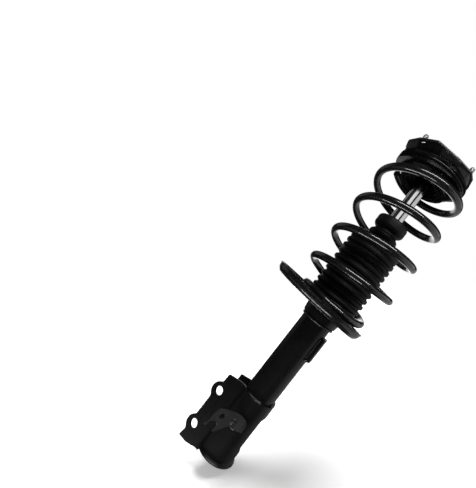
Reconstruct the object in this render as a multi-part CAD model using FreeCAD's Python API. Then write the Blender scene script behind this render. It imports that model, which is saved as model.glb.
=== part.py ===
import FreeCAD, Part
import math
import os
from FreeCAD import Vector

# Strut assembly in millimetres, +Z up the damper axis.
# The origin lies on the damper axis, on the upper face of the mount plate,
# where the strut meets the body of the car. The knuckle flanges point to -X.
os.makedirs("parts", exist_ok=True)

# Small clearances between pieces
PRESS = 0.02            # pressed round pieces within one body
RUNNING = 0.05          # sliding fits of rod and piston, on the radius
SEAT_GAP = 0.3          # pieces that rest on each other without a fit

# Mount plate and its studs
# The plate's outline is a list of corners, each given as azimuth and radius.
PLATE_T = 3.0
PLATE_CORNERS = ((-138.0, 64.4), (-115.6, 64.0), (-86.8, 66.2), (-52.9, 57.4), (-33.2, 58.8),
                 (-24.0, 62.0), (-7.0, 60.3), (8.0, 57.8), (38.0, 55.5), (78.0, 56.0), (94.0, 62.0),
                 (114.0, 64.0), (134.0, 62.0), (150.0, 56.0), (188.0, 55.5), (206.0, 60.0))
PLATE_CORNER_R = 5.0
STUD_CIRCLE_R = 49.5
STUD_COUNT = 3
STUD_AZIMUTH = 114.0
STUD_R = 4.0
STUD_LENGTH = 18.0
STUD_CHAMFER = 0.8
STUD_HEAD_R = 7.0
STUD_HEAD_T = 2.4
STUD_COLLAR_R = 4.6
DOME_BASE_R = 30.0
DOME_TOP_R = 24.0
DOME_H = 10.5
DOME_HOLE_R = 16.0

# Rubber body of the mount with its inner sleeve
MOUNT_R = 57.5
MOUNT_WAIST_R = 56.6
MOUNT_BOTTOM = -13.2
MOUNT_CORE_TOP = 2.0
MOUNT_CORE_R = 24.0
HEAD_POCKET_CLEAR = 0.3
SLEEVE_R = 13.0
SLEEVE_TOP = 3.0
SLEEVE_FLANGE_R = 22.0
SLEEVE_FLANGE_LOW = -6.0
SLEEVE_FLANGE_T = 2.5

# Thrust bearing
RACE_IN_R = 32.0
RACE_OUT_R = 46.8
UPPER_RACE_LOW = -18.0
LOWER_RACE_LOW = -25.5
LOWER_RACE_TOP = -22.0
BALL_CIRCLE_R = 39.4
BALL_R = 3.0
BALL_Z = -20.0
BALL_COUNT = 18
BALL_GROOVE_CLEAR = 0.3
BALL_POCKET_CLEAR = 0.12
CAGE_IN_R = 34.5
CAGE_OUT_R = 44.3
CAGE_T = 2.6

# Upper spring seat
SEAT_R = 60.0
SEAT_TOP = -15.2
SEAT_FLANGE_T = 5.3
SEAT_CONE_TOP_R = 57.2
SEAT_HUB_R = 40.0
SEAT_CONE_LOW = -38.1
SEAT_HUB_LOW = -39.5
SEAT_RING_R = 35.0
SEAT_RING_W = 2.6
SEAT_RING_DEPTH = 1.6
SEAT_STEPS = ((29.0, 3.0), (23.5, 6.0), (18.5, 10.0))
SEAT_BORE_R = 14.0
SEAT_NECK_R = 30.4
SEAT_NECK_TOP = -19.5
SEAT_POCKET_R = 47.5

# Upper insulator, a wedge that is thick on one side
WEDGE_MID = -24.0
WEDGE_LEAN = 8.5 / 60.0
WEDGE_HIGH_AZIMUTH = 88.0
WEDGE_GROOVE_Z = -26.6
WEDGE_GROOVE_W = 3.4
WEDGE_GROOVE_DEPTH = 1.4

# Coil spring: turn 0 is the first strand that crosses the front
WIRE_R = 6.0
COIL_AZIMUTH = 208.0
COIL_FIRST = -0.889
COIL_LAST = 4.27
COIL_START_Z = -64.23
COIL_RISE = 55.04
COIL_RISE_GROWTH = 3.2475
COIL_RISE_FADE = 0.793
COIL_R = 66.14
COIL_R_GROWTH = 0.946
COIL_LEAN = 0.0168
COIL_LEAN_GROWTH = 0.026
COIL_TIP = 0.023
TIP_FROM = -0.6
TIP_FULL = -0.3
TIP_FADE = 1.5
TIP_END = 2.5
TOP_TAIL_DROP = 11.5
TOP_TAIL_FROM = 0.30
TOP_TAIL_SPAN = 0.48
TOP_TAIL_LIFT = 0.9
TOP_DRAW_IN = 41.0
TOP_DRAW_FROM = 0.5
TOP_DRAW_POWER = 1.7
LOW_COIL_R = 55.3
LOW_DRAW_FROM = 3.05
LOW_DRAW_SPAN = 0.45
LOW_LAY_FROM = 3.40
LOW_LAY_SPAN = 0.55
LOW_END_FROM = 3.5
LOW_END_SPAN = 0.5
LOW_END_DRAW = 3.0
LOW_DIP_FROM = 3.1
LOW_DIP_SPAN = 0.4
LOW_DIP = 3.5

# Lower spring seat: a pressed pan that leans down along the lean azimuth
LEAN_AZIMUTH = 28.0
PAN_SLOPE = 0.0984
PAN_RIM_Z = -278.5
PAN_SHIFT = 18.5
PAN_R = 84.5
PAN_DEPTH = 13.5
PAN_SHEET = 2.5
PAN_CORNER_R = 10.0
PAN_LIP_T = 3.6
PAN_LIP_H = 3.0
BOSS_R = 43.5
BOSS_TOP = -282.5
BOSS_REACH = 22.0
PAD_WALL_GAP = 3.5
PAD_WIDTH = 18.0
PAD_OUT_R = PAN_R - PAN_SHIFT - PAD_WALL_GAP
PAD_IN_R = PAD_OUT_R - PAD_WIDTH
PAD_TOP_Z = -282.2
COLLAR_WALL = 6.0
COLLAR_LOW_WALL = 4.6
COLLAR_STEP_Z = -297.5
COLLAR_LOW_Z = -306.5
COLLAR_LEG = 1.2
WELD_Z = -309.7
WELD_R = 2.2
WELD_IN = 0.8

# Damper tube and what is inside it
TUBE_R = 25.5
TUBE_WALL = 2.5
TUBE_TOP = -195.5
TUBE_LOW = -567.5
CAP_WALL = 1.7
CAP_TOP = -191.5
CAP_SKIRT_LOW = -206.0
CAP_HOLE_R = 12.4
ROD_R = 11.0
ROD_SHOULDER = -14.5
ROD_THREAD_R = 7.0
ROD_TIP = 16.5
ROD_KEY_AF = 6.0
ROD_KEY_DEPTH = 5.0
ROD_FOOT_Z = -241.5
ROD_FOOT_R = 6.0
WASHER_R = 14.2
WASHER_T = 2.5
NUT_AF = 21.0
NUT_H = 8.0
CYLINDER_R = 16.0
CYLINDER_WALL = 1.5
PISTON_H = 25.0
PISTON_PORT_R = 1.7
PISTON_PORT_CIRCLE_R = 11.3
PISTON_NUT_AF = 17.0
PISTON_NUT_H = 8.5
STOP_R = 14.4
STOP_LOW = -231.5
STOP_TOP = -223.5
GUIDE_LOW = -221.5
GUIDE_STEP = -209.0
GUIDE_TOP = -201.5
SEAL_TOP = -195.8
VALVE_LOW = -564.0
VALVE_STEP = -558.0
VALVE_TOP = -551.5
VALVE_PORT_R = 1.5
VALVE_PORT_CIRCLE_R = 9.5
CUP_T = 3.0

# Dust boot
BOOT_BORE_R = 38.5
BOOT_CREST_R = 44.0
BOOT_VALLEY_R = 40.3
BOOT_RIBS = 9
BOOT_FIRST_CREST = -263.5
BOOT_PITCH = 11.1
BOOT_CREST_WIDTH = 3.6
BOOT_FLANK = 2.6
BOOT_CUFF_R = 42.5
BOOT_CUFF_TOP = -272.5
BOOT_SHOULDER_R = 43.0
BOOT_SHOULDER_LOW = -168.5
BOOT_SHOULDER_TOP = -159.5
BOOT_DOME_TOP = -152.5
BOOT_DOME_R = 33.0
BOOT_MOUTH_R = 28.0

# Bump stop
BUMP_TOP = -111.3
BUMP_HEAD_R = 26.4
BUMP_EDGE = 4.5
BUMP_NECK_R = 18.5
BUMP_NECK_Z = -133.5
BUMP_SECOND_R = 25.3
BUMP_SECOND_Z = -142.5
BUMP_SECOND_NECK_Z = -152.0
BUMP_THIRD_Z = -161.5
BUMP_FOOT_R = 21.0
BUMP_BORE_R = 11.6

# Knuckle bracket, folded from one sheet around the tube
KNUCKLE_SHEET = 3.8
KNUCKLE_CLEAR = 0.1
FLANGE_GAP = 31.2
KNUCKLE_BEND_R = 14.0
WRAP_TOP = -458.0
WRAP_LOW = -567.0
FLARE_H = 4.8
FLARE_OUT = 4.2
FLARE_FROM_X = -20.0
BOLT_X = -53.0
BOLT_UPPER_Z = -497.9
BOLT_SPACING = 66.5
BOLT_HOLE_R = 7.3
LOBE_DROP = 1.3
LOBE_EDGE_R = 15.3
LOBE_BLEND_R = 7.0
FLANGE_TOP_X = -56.4
FLANGE_WAIST_X = -60.4
FLANGE_FOOT_X = -62.3
FLANGE_CORNER_R = 2.5
# The flange's corner stands above the upper bolt and its foot below the lower one.
CORNER_RISE = 30.4
FOOT_DROP = 31.3
# Upper edge as X and drop below the wrap's top, lower edge as X and rise above the foot
TOP_EDGE = ((-20.0, 1.0), (-34.0, 3.0))
FOOT_EDGE = ((-45.4, 2.1), (-36.0, 5.7), (-28.0, 9.3), (-18.7, 13.0))
FOOT_EDGE_END = -10.0
WINDOW_AZIMUTH = 30.0
WINDOW_HALF_W = 17.0
WINDOW_TOP = -481.5
WINDOW_LOW = -549.0
WINDOW_CORNER_R = 5.0

# Brake hose bracket: it hugs the wrap between two azimuths, then stands off as a flat plate.
# Places on the plate are measured along it (S) from the foot of its normal.
HOSE_PLATE_T = 3.0
HOSE_PLATE_AZIMUTH = -37.0
HOSE_WRAP_FROM = -46.0
HOSE_WRAP_TO = -70.0
HOSE_REACH = 70.0
HOSE_HOLE_R = 4.4
HOSE_HOLE_S = 45.5
HOSE_HOLE_Z = -499.7
HOSE_NOTCH_R = 6.6
HOSE_NOTCH_S = 50.7
HOSE_NOTCH_Z = -516.8
HOSE_TOP_EDGE = ((53.2, -489.6), (46.9, -488.1), (28.0, -486.0), (17.7, -488.0), (12.6, -489.8))
HOSE_END_S = 5.1
HOSE_END_Z = -498.5
HOSE_LOW_EDGE = ((5.1, -509.5), (27.1, -510.4), (31.0, -513.6), (35.7, -519.5), (43.0, -526.5))
HOSE_PRONG_LOW = -520.5
HOSE_OUTER_EDGE = ((63.8, -520.5), (60.0, -516.2), (58.5, -511.0), (58.0, -500.9), (55.9, -493.6))

# Stamped bracket on the side of the tube
SIDE_AZIMUTH = 11.5
SIDE_TOP = -325.0
SIDE_LOW = -369.0
SIDE_FACE_R = 30.6
SIDE_SHEET = 3.0
SIDE_HALF_W = 11.0
SIDE_BEND_R = 4.0

Z_AXIS = Vector(0, 0, 1)
ORIGIN = Vector(0, 0, 0)


def save(name, shape):
    shape.exportStep("parts/" + name + ".step")
    print(name, round(shape.Volume, 1), "solids", len(shape.Solids), "valid", shape.isValid())


def polar(radius, azimuth, z):
    a = math.radians(azimuth)
    return Vector(radius * math.cos(a), radius * math.sin(a), z)


def cylinder(radius, low, top, centre=ORIGIN):
    return Part.makeCylinder(radius, top - low, Vector(centre.x, centre.y, low))


def ring(outer, inner, low, top):
    return cylinder(outer, low, top).cut(cylinder(inner, low - 1, top + 1))


def spin(profile):
    points = [Vector(r, 0, z) for r, z in profile]
    face = Part.Face(Part.makePolygon(points + [points[0]]))
    return face.revolve(ORIGIN, Z_AXIS, 360)


def hexagon(across_flats, low, top):
    corner = across_flats / math.sqrt(3)
    points = [polar(corner, 60 * i, low) for i in range(7)]
    return Part.Face(Part.makePolygon(points)).extrude(Vector(0, 0, top - low))


def smooth(x):
    x = min(1.0, max(0.0, x))
    return x * x * (3 - 2 * x)


def stud_spots():
    return [polar(STUD_CIRCLE_R, STUD_AZIMUTH + 120 * i, 0) for i in range(STUD_COUNT)]


def upright_edges(shape):
    return [e for e in shape.Edges if len(e.Vertexes) == 2 and
            math.hypot(e.Vertexes[0].X - e.Vertexes[1].X, e.Vertexes[0].Y - e.Vertexes[1].Y) < 0.001]


def mount_plate():
    corners = [polar(radius, azimuth, -PLATE_T) for azimuth, radius in PLATE_CORNERS]
    outline = Part.Face(Part.makePolygon(corners + [corners[0]]))
    plate = outline.extrude(Vector(0, 0, PLATE_T))
    plate = plate.makeFillet(PLATE_CORNER_R, upright_edges(plate))
    plate = plate.cut(cylinder(DOME_BASE_R, -PLATE_T - 1, 1))
    slope = (DOME_BASE_R - DOME_TOP_R) / DOME_H
    shoulder = DOME_H - PLATE_T + 0.5
    inner_base = DOME_BASE_R - PLATE_T
    inner_top = inner_base - slope * (DOME_H - PLATE_T)
    dome = spin([(DOME_BASE_R, -PLATE_T), (DOME_BASE_R, 0), (DOME_BASE_R - slope * shoulder, shoulder),
                 (DOME_TOP_R, DOME_H), (DOME_HOLE_R, DOME_H), (DOME_HOLE_R, DOME_H - PLATE_T),
                 (inner_top, DOME_H - PLATE_T), (inner_base, -PLATE_T)])
    plate = plate.fuse(dome)
    for spot in stud_spots():
        plate = plate.cut(cylinder(STUD_COLLAR_R + PRESS, -PLATE_T - 1, 1, spot))
    return plate.removeSplitter()


def tower_studs():
    studs = []
    for spot in stud_spots():
        stud = cylinder(STUD_HEAD_R, -PLATE_T - STUD_HEAD_T, -PLATE_T, spot)
        stud = stud.fuse(cylinder(STUD_COLLAR_R, -PLATE_T, 0, spot))
        stud = stud.fuse(cylinder(STUD_R, 0, STUD_LENGTH - STUD_CHAMFER, spot))
        tip = Part.makeCone(STUD_R, STUD_R - STUD_CHAMFER, STUD_CHAMFER,
                            Vector(spot.x, spot.y, STUD_LENGTH - STUD_CHAMFER))
        studs.append(stud.fuse(tip))
    return Part.makeCompound(studs)


def mount_sleeve():
    flange_top = SLEEVE_FLANGE_LOW + SLEEVE_FLANGE_T
    return spin([(ROD_THREAD_R + PRESS, ROD_SHOULDER), (SLEEVE_R, ROD_SHOULDER),
                 (SLEEVE_R, SLEEVE_FLANGE_LOW), (SLEEVE_FLANGE_R, SLEEVE_FLANGE_LOW),
                 (SLEEVE_FLANGE_R, flange_top), (SLEEVE_R, flange_top),
                 (SLEEVE_R, SLEEVE_TOP), (ROD_THREAD_R + PRESS, SLEEVE_TOP)])


def mount_rubber(sleeve):
    chamfer = 1.2
    mid = (MOUNT_BOTTOM - PLATE_T) / 2
    rubber = spin([(SLEEVE_R, MOUNT_BOTTOM), (MOUNT_R - chamfer, MOUNT_BOTTOM),
                   (MOUNT_R, MOUNT_BOTTOM + chamfer), (MOUNT_WAIST_R, mid), (MOUNT_R, -PLATE_T - chamfer),
                   (MOUNT_R, -PLATE_T), (MOUNT_CORE_R, -PLATE_T), (MOUNT_CORE_R - 1, MOUNT_CORE_TOP),
                   (SLEEVE_R, MOUNT_CORE_TOP)])
    for spot in stud_spots():
        pocket = cylinder(STUD_HEAD_R + HEAD_POCKET_CLEAR, -PLATE_T - STUD_HEAD_T - HEAD_POCKET_CLEAR,
                          -PLATE_T + 1, spot)
        rubber = rubber.cut(pocket)
    return rubber.cut(sleeve)


def race(low, top):
    body = ring(RACE_OUT_R, RACE_IN_R, low, top)
    groove = Part.makeTorus(BALL_CIRCLE_R, BALL_R + BALL_GROOVE_CLEAR, Vector(0, 0, BALL_Z))
    return body.cut(groove)


def bearing_balls():
    spots = [polar(BALL_CIRCLE_R, 360.0 * i / BALL_COUNT, BALL_Z) for i in range(BALL_COUNT)]
    return [Part.makeSphere(BALL_R, spot) for spot in spots]


def bearing_cage():
    cage = ring(CAGE_OUT_R, CAGE_IN_R, BALL_Z - CAGE_T / 2, BALL_Z + CAGE_T / 2)
    for i in range(BALL_COUNT):
        spot = polar(BALL_CIRCLE_R, 360.0 * i / BALL_COUNT, 0)
        cage = cage.cut(cylinder(BALL_R + BALL_POCKET_CLEAR, BALL_Z - CAGE_T, BALL_Z + CAGE_T, spot))
    return cage


def upper_spring_seat():
    edge = 1.0
    ring_in = SEAT_RING_R - SEAT_RING_W
    profile = [(SEAT_POCKET_R, SEAT_TOP), (SEAT_R - edge, SEAT_TOP), (SEAT_R, SEAT_TOP - edge),
               (SEAT_R, SEAT_TOP - SEAT_FLANGE_T + edge), (SEAT_R - edge, SEAT_TOP - SEAT_FLANGE_T),
               (SEAT_CONE_TOP_R, SEAT_TOP - SEAT_FLANGE_T), (SEAT_HUB_R, SEAT_CONE_LOW),
               (SEAT_HUB_R, SEAT_HUB_LOW), (SEAT_RING_R, SEAT_HUB_LOW),
               (SEAT_RING_R, SEAT_HUB_LOW + SEAT_RING_DEPTH), (ring_in, SEAT_HUB_LOW + SEAT_RING_DEPTH),
               (ring_in, SEAT_HUB_LOW)]
    height = SEAT_HUB_LOW
    for radius, rise in SEAT_STEPS:
        profile.append((radius, height))
        height = SEAT_HUB_LOW + rise
        profile.append((radius, height))
    profile += [(SEAT_BORE_R, height), (SEAT_BORE_R, SEAT_NECK_TOP), (SEAT_NECK_R, SEAT_NECK_TOP),
                (SEAT_NECK_R, LOWER_RACE_LOW), (SEAT_POCKET_R, LOWER_RACE_LOW)]
    return spin(profile)


def upper_insulator():
    top = SEAT_TOP - SEAT_FLANGE_T
    bottom = SEAT_R - WEDGE_GROOVE_DEPTH
    half = WEDGE_GROOVE_W / 2
    blank = spin([(SEAT_HUB_R, SEAT_CONE_LOW), (SEAT_CONE_TOP_R, top), (SEAT_R, top),
                  (SEAT_R, WEDGE_GROOVE_Z + half), (bottom, WEDGE_GROOVE_Z + half / 2),
                  (bottom, WEDGE_GROOVE_Z - half / 2), (SEAT_R, WEDGE_GROOVE_Z - half),
                  (SEAT_R, SEAT_CONE_LOW)])
    angle = math.degrees(math.atan(WEDGE_LEAN))
    below = Part.makeBox(4 * SEAT_R, 4 * SEAT_R, 2 * SEAT_R, Vector(-2 * SEAT_R, -2 * SEAT_R, -2 * SEAT_R))
    below.rotate(ORIGIN, Vector(0, 1, 0), -angle)
    below.rotate(ORIGIN, Z_AXIS, WEDGE_HIGH_AZIMUTH)
    below.translate(Vector(0, 0, WEDGE_MID))
    return blank.cut(below)


def coil_radius(turn):
    radius = COIL_R + COIL_R_GROWTH * turn
    if turn < -TOP_DRAW_FROM:
        radius -= TOP_DRAW_IN * (-TOP_DRAW_FROM - turn) ** TOP_DRAW_POWER
    lay = smooth((turn - LOW_DRAW_FROM) / LOW_DRAW_SPAN)
    radius += (LOW_COIL_R - radius) * lay
    return radius - LOW_END_DRAW * smooth((turn - LOW_END_FROM) / LOW_END_SPAN)


def coil_point(turn):
    radius = coil_radius(turn)
    azimuth = COIL_AZIMUTH - 360 * turn
    along = radius * math.cos(math.radians(azimuth - LEAN_AZIMUTH))
    free = COIL_START_Z - (COIL_RISE * turn + COIL_RISE_GROWTH * turn ** 2 - COIL_RISE_FADE * turn ** 3)
    free -= (COIL_LEAN + COIL_LEAN_GROWTH * turn) * along
    across = radius * math.cos(math.radians(azimuth - LEAN_AZIMUTH - 90))
    tip = smooth((turn - TIP_FROM) / (TIP_FULL - TIP_FROM))
    tip *= smooth((TIP_END - turn) / (TIP_END - TIP_FADE))
    free -= COIL_TIP * tip * across
    tail = smooth((-TOP_TAIL_FROM - turn) / TOP_TAIL_SPAN)
    free -= (TOP_TAIL_DROP - TOP_TAIL_LIFT) * tail
    dip = min(1.0, max(0.0, (turn - LOW_DIP_FROM) / LOW_DIP_SPAN))
    free -= LOW_DIP * math.sin(math.pi * dip) ** 2
    laid = PAD_TOP_Z + SEAT_GAP + WIRE_R - PAN_SLOPE * along
    height = free + (laid - free) * smooth((turn - LOW_LAY_FROM) / LOW_LAY_SPAN)
    return polar(radius, azimuth, height)


def coil_tangent(turn):
    step = 0.001
    return (coil_point(turn + step) - coil_point(turn - step)).normalize()


def arc_from(start, corner, end):
    """Middle point of the arc that leaves start towards corner and ends at end."""
    middle = (start + end) / 2
    half_chord = (end - start).Length / 2
    rise = corner - middle
    bend = math.atan2(rise.Length, half_chord)
    return middle + rise.normalize() * (half_chord * math.tan(bend / 2))


def biarc(start, start_dir, end, end_dir):
    span = end - start
    a = 2 * (1 - start_dir.dot(end_dir))
    b = 2 * span.dot(start_dir + end_dir)
    reach = (-b + math.sqrt(b * b + 4 * a * span.dot(span))) / (2 * a)
    first = start + start_dir * reach
    second = end - end_dir * reach
    joint = (first + second) / 2
    one = Part.Arc(start, arc_from(start, first, joint), joint)
    two = Part.Arc(joint, arc_from(joint, second, end), end)
    return [one.toShape(), two.toShape()]


def coil_stations():
    turns = [COIL_FIRST]
    quarter = math.floor(COIL_FIRST * 4) + 1
    while quarter / 4 < COIL_LAST:
        if quarter / 4 - turns[-1] > 0.1:
            turns.append(quarter / 4)
        quarter += 1
    if COIL_LAST - turns[-1] < 0.1:
        turns.pop()
    turns.append(COIL_LAST)
    return turns


def coil_spring():
    turns = coil_stations()
    edges = []
    for here, there in zip(turns, turns[1:]):
        edges += biarc(coil_point(here), coil_tangent(here), coil_point(there), coil_tangent(there))
    path = Part.Wire(edges)
    section = Part.Wire([Part.makeCircle(WIRE_R, coil_point(COIL_FIRST), coil_tangent(COIL_FIRST))])
    coil = path.makePipeShell([section], True, False)
    points = []
    for edge in edges:
        points += edge.discretize(12)[:-1]
    nearest = 1e9
    half_turn = len(points) * 0.5 / (COIL_LAST - COIL_FIRST)
    for i, p in enumerate(points):
        for q in points[int(i + half_turn):]:
            nearest = min(nearest, (p - q).Length)
    print("coil least gap to itself", round(nearest - 2 * WIRE_R, 2))
    filled = coil.Volume / (path.Length * math.pi * WIRE_R ** 2)
    print("coil volume against section times length", round(filled, 4))
    return coil


def lean(shape):
    """Set a shape drawn level at the strut axis onto the leaning plane of the pan."""
    angle = math.degrees(math.atan(PAN_SLOPE))
    shape.rotate(ORIGIN, Vector(0, 1, 0), angle)
    shape.rotate(ORIGIN, Z_AXIS, LEAN_AZIMUTH)
    return shape


def lower_spring_seat():
    corner = PAN_CORNER_R
    inner = corner - PAN_SHEET
    diagonal = math.sqrt(0.5)
    wall = PAN_R - PAN_SHEET
    floor = -PAN_DEPTH + PAN_SHEET
    outer_bend = Part.Arc(Vector(PAN_R - corner, 0, -PAN_DEPTH),
                          Vector(PAN_R - corner + corner * diagonal, 0, -PAN_DEPTH + corner - corner * diagonal),
                          Vector(PAN_R, 0, -PAN_DEPTH + corner)).toShape()
    inner_bend = Part.Arc(Vector(wall, 0, floor + inner),
                          Vector(wall - inner + inner * diagonal, 0, floor + inner - inner * diagonal),
                          Vector(wall - inner, 0, floor)).toShape()
    lip = PAN_R + PAN_LIP_T - PAN_SHEET
    rim = Part.makePolygon([Vector(PAN_R, 0, -PAN_DEPTH + corner), Vector(PAN_R, 0, -PAN_LIP_H),
                            Vector(lip, 0, -PAN_LIP_H + 1), Vector(lip, 0, -0.8), Vector(lip - 0.8, 0, 0),
                            Vector(wall + 0.8, 0, 0), Vector(wall, 0, -0.8), Vector(wall, 0, floor + inner)])
    base = Part.makePolygon([Vector(wall - inner, 0, floor), Vector(0, 0, floor),
                             Vector(0, 0, -PAN_DEPTH), Vector(PAN_R - corner, 0, -PAN_DEPTH)])
    wire = Part.Wire(Part.__sortEdges__(outer_bend.Edges + rim.Edges + inner_bend.Edges + base.Edges))
    pan = Part.Face(wire).revolve(ORIGIN, Z_AXIS, 360)
    pan.translate(Vector(-PAN_SHIFT, 0, 0))
    pan = lean(pan)
    pan.translate(Vector(0, 0, PAN_RIM_Z))
    boss_low = BOSS_TOP - BOSS_REACH
    boss = ring(BOSS_R, BOSS_R - PAN_SHEET, boss_low, BOSS_TOP)
    boss = boss.fuse(ring(BOSS_R, TUBE_R + PRESS, BOSS_TOP - PAN_SHEET, BOSS_TOP))
    under = Part.makeBox(4 * PAN_R, 4 * PAN_R, PAN_R, Vector(-2 * PAN_R, -2 * PAN_R, -PAN_DEPTH - PAN_R))
    under = lean(under)
    under.translate(Vector(0, 0, PAN_RIM_Z))
    boss = boss.cut(under)
    pan = pan.cut(cylinder(BOSS_R - PAN_SHEET, boss_low - BOSS_REACH, BOSS_TOP + BOSS_REACH))
    return pan.fuse(boss).removeSplitter()


def lower_insulator(seat):
    level = math.cos(math.atan(PAN_SLOPE))
    depth = PAN_DEPTH - PAN_SHEET - (PAN_RIM_Z - PAD_TOP_Z) * level
    pad = lean(ring(PAD_OUT_R, PAD_IN_R, -depth, 0))
    pad.translate(Vector(0, 0, PAD_TOP_Z))
    return pad.cut(seat)


def seat_collar():
    bore = TUBE_R + PRESS
    top = BOSS_TOP - PAN_SHEET
    collar = spin([(bore, top), (TUBE_R + COLLAR_WALL, top), (TUBE_R + COLLAR_WALL, COLLAR_STEP_Z),
                   (TUBE_R + COLLAR_LOW_WALL, COLLAR_LOW_Z), (TUBE_R + COLLAR_LEG, COLLAR_LOW_Z),
                   (TUBE_R + COLLAR_LEG, WELD_Z), (bore, WELD_Z)])
    weld = Part.makeTorus(TUBE_R + WELD_IN, WELD_R, Vector(0, 0, WELD_Z))
    weld = weld.cut(cylinder(bore, WELD_Z - 2 * WELD_R, WELD_Z + 2 * WELD_R))
    return collar.fuse(weld)


def piston_rod():
    foot = ROD_FOOT_Z - PISTON_H - PISTON_NUT_H - 1.5
    rod = spin([(0, foot), (ROD_FOOT_R - 0.8, foot), (ROD_FOOT_R, foot + 0.8), (ROD_FOOT_R, ROD_FOOT_Z),
                (ROD_R, ROD_FOOT_Z), (ROD_R, ROD_SHOULDER), (ROD_THREAD_R, ROD_SHOULDER),
                (ROD_THREAD_R, ROD_TIP - 1), (ROD_THREAD_R - 1, ROD_TIP), (0, ROD_TIP)])
    return rod.cut(hexagon(ROD_KEY_AF, ROD_TIP - ROD_KEY_DEPTH, ROD_TIP + 1))


def nut(across_flats, bore_r, low, height):
    blank = hexagon(across_flats, low, low + height)
    corner = across_flats / math.sqrt(3)
    bevel = spin([(0, low), (corner - 1, low), (corner, low + 0.6), (corner, low + height - 0.6),
                  (corner - 1, low + height), (0, low + height)])
    return blank.common(bevel).cut(cylinder(bore_r + PRESS, low - 1, low + height + 1))


def piston():
    low = ROD_FOOT_Z - PISTON_H
    radius = CYLINDER_R - RUNNING
    groove = 0.8
    body = spin([(ROD_FOOT_R + PRESS, low), (radius - 1, low), (radius, low + 1), (radius, low + 7),
                 (radius - groove, low + 7), (radius - groove, low + 9), (radius, low + 9),
                 (radius, ROD_FOOT_Z - 1), (radius - 1, ROD_FOOT_Z), (ROD_FOOT_R + PRESS, ROD_FOOT_Z)])
    for i in range(6):
        spot = polar(PISTON_PORT_CIRCLE_R, 60 * i, 0)
        body = body.cut(cylinder(PISTON_PORT_R, low - 1, ROD_FOOT_Z + 1, spot))
    return body


def rod_guide():
    shoulder = TUBE_R - TUBE_WALL - PRESS
    spigot = CYLINDER_R - PRESS
    return spin([(ROD_R + RUNNING, GUIDE_LOW), (spigot - 0.8, GUIDE_LOW), (spigot, GUIDE_LOW + 0.8),
                 (spigot, GUIDE_STEP), (shoulder, GUIDE_STEP), (shoulder, GUIDE_TOP),
                 (ROD_R + RUNNING, GUIDE_TOP)])


def base_valve():
    spigot = CYLINDER_R - PRESS
    foot = CYLINDER_R + CYLINDER_WALL + 2
    valve = spin([(0, VALVE_LOW), (foot, VALVE_LOW), (foot, VALVE_STEP), (spigot, VALVE_STEP),
                  (spigot, VALVE_TOP), (0, VALVE_TOP)])
    for i in range(6):
        spot = polar(VALVE_PORT_CIRCLE_R, 60 * i, 0)
        valve = valve.cut(cylinder(VALVE_PORT_R, VALVE_LOW - 1, VALVE_TOP + 1, spot))
    slot = Part.makeBox(2 * foot + 2, 4, 2.5, Vector(-foot - 1, -2, VALVE_LOW - 0.5))
    return valve.cut(slot)


def base_cup():
    radius = TUBE_R - TUBE_WALL - PRESS
    return spin([(0, VALVE_LOW - CUP_T), (radius, VALVE_LOW - CUP_T), (radius, VALVE_LOW),
                 (0, VALVE_LOW)])


def tube_cap():
    cap_r = TUBE_R + CAP_WALL
    edge = 1.5
    return spin([(CAP_HOLE_R, TUBE_TOP), (TUBE_R + PRESS, TUBE_TOP), (TUBE_R + PRESS, CAP_SKIRT_LOW),
                 (cap_r, CAP_SKIRT_LOW), (cap_r, CAP_TOP - edge), (cap_r - edge, CAP_TOP),
                 (CAP_HOLE_R, CAP_TOP)])


def level_ring(radius, z):
    return Part.Wire([Part.makeCircle(radius, Vector(0, 0, z), Z_AXIS)])


def dust_boot():
    half_crest = BOOT_CREST_WIDTH / 2
    sections = [(BOOT_CUFF_R, BOSS_TOP), (BOOT_CUFF_R, BOOT_CUFF_TOP)]
    for i in range(BOOT_RIBS):
        crest = BOOT_FIRST_CREST + BOOT_PITCH * i
        sections += [(BOOT_VALLEY_R, crest - half_crest - BOOT_FLANK), (BOOT_CREST_R, crest - half_crest),
                     (BOOT_CREST_R, crest + half_crest), (BOOT_VALLEY_R, crest + half_crest + BOOT_FLANK)]
    sections += [(BOOT_SHOULDER_R, BOOT_SHOULDER_LOW + 1.5), (BOOT_SHOULDER_R, BOOT_SHOULDER_TOP),
                 (BOOT_SHOULDER_R - 3, BOOT_SHOULDER_TOP + 3), (BOOT_DOME_R, BOOT_DOME_TOP)]
    outside = Part.makeLoft([level_ring(r, z) for r, z in sections], True, True)
    wall = BOOT_VALLEY_R - BOOT_BORE_R
    bore = [(BOOT_BORE_R, BOSS_TOP - 1), (BOOT_BORE_R, BOOT_SHOULDER_TOP - wall),
            (BOOT_MOUTH_R, BOOT_DOME_TOP - wall), (BOOT_MOUTH_R, BOOT_DOME_TOP + 1)]
    inside = Part.makeLoft([level_ring(r, z) for r, z in bore], True, True)
    return outside.cut(inside)


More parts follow.
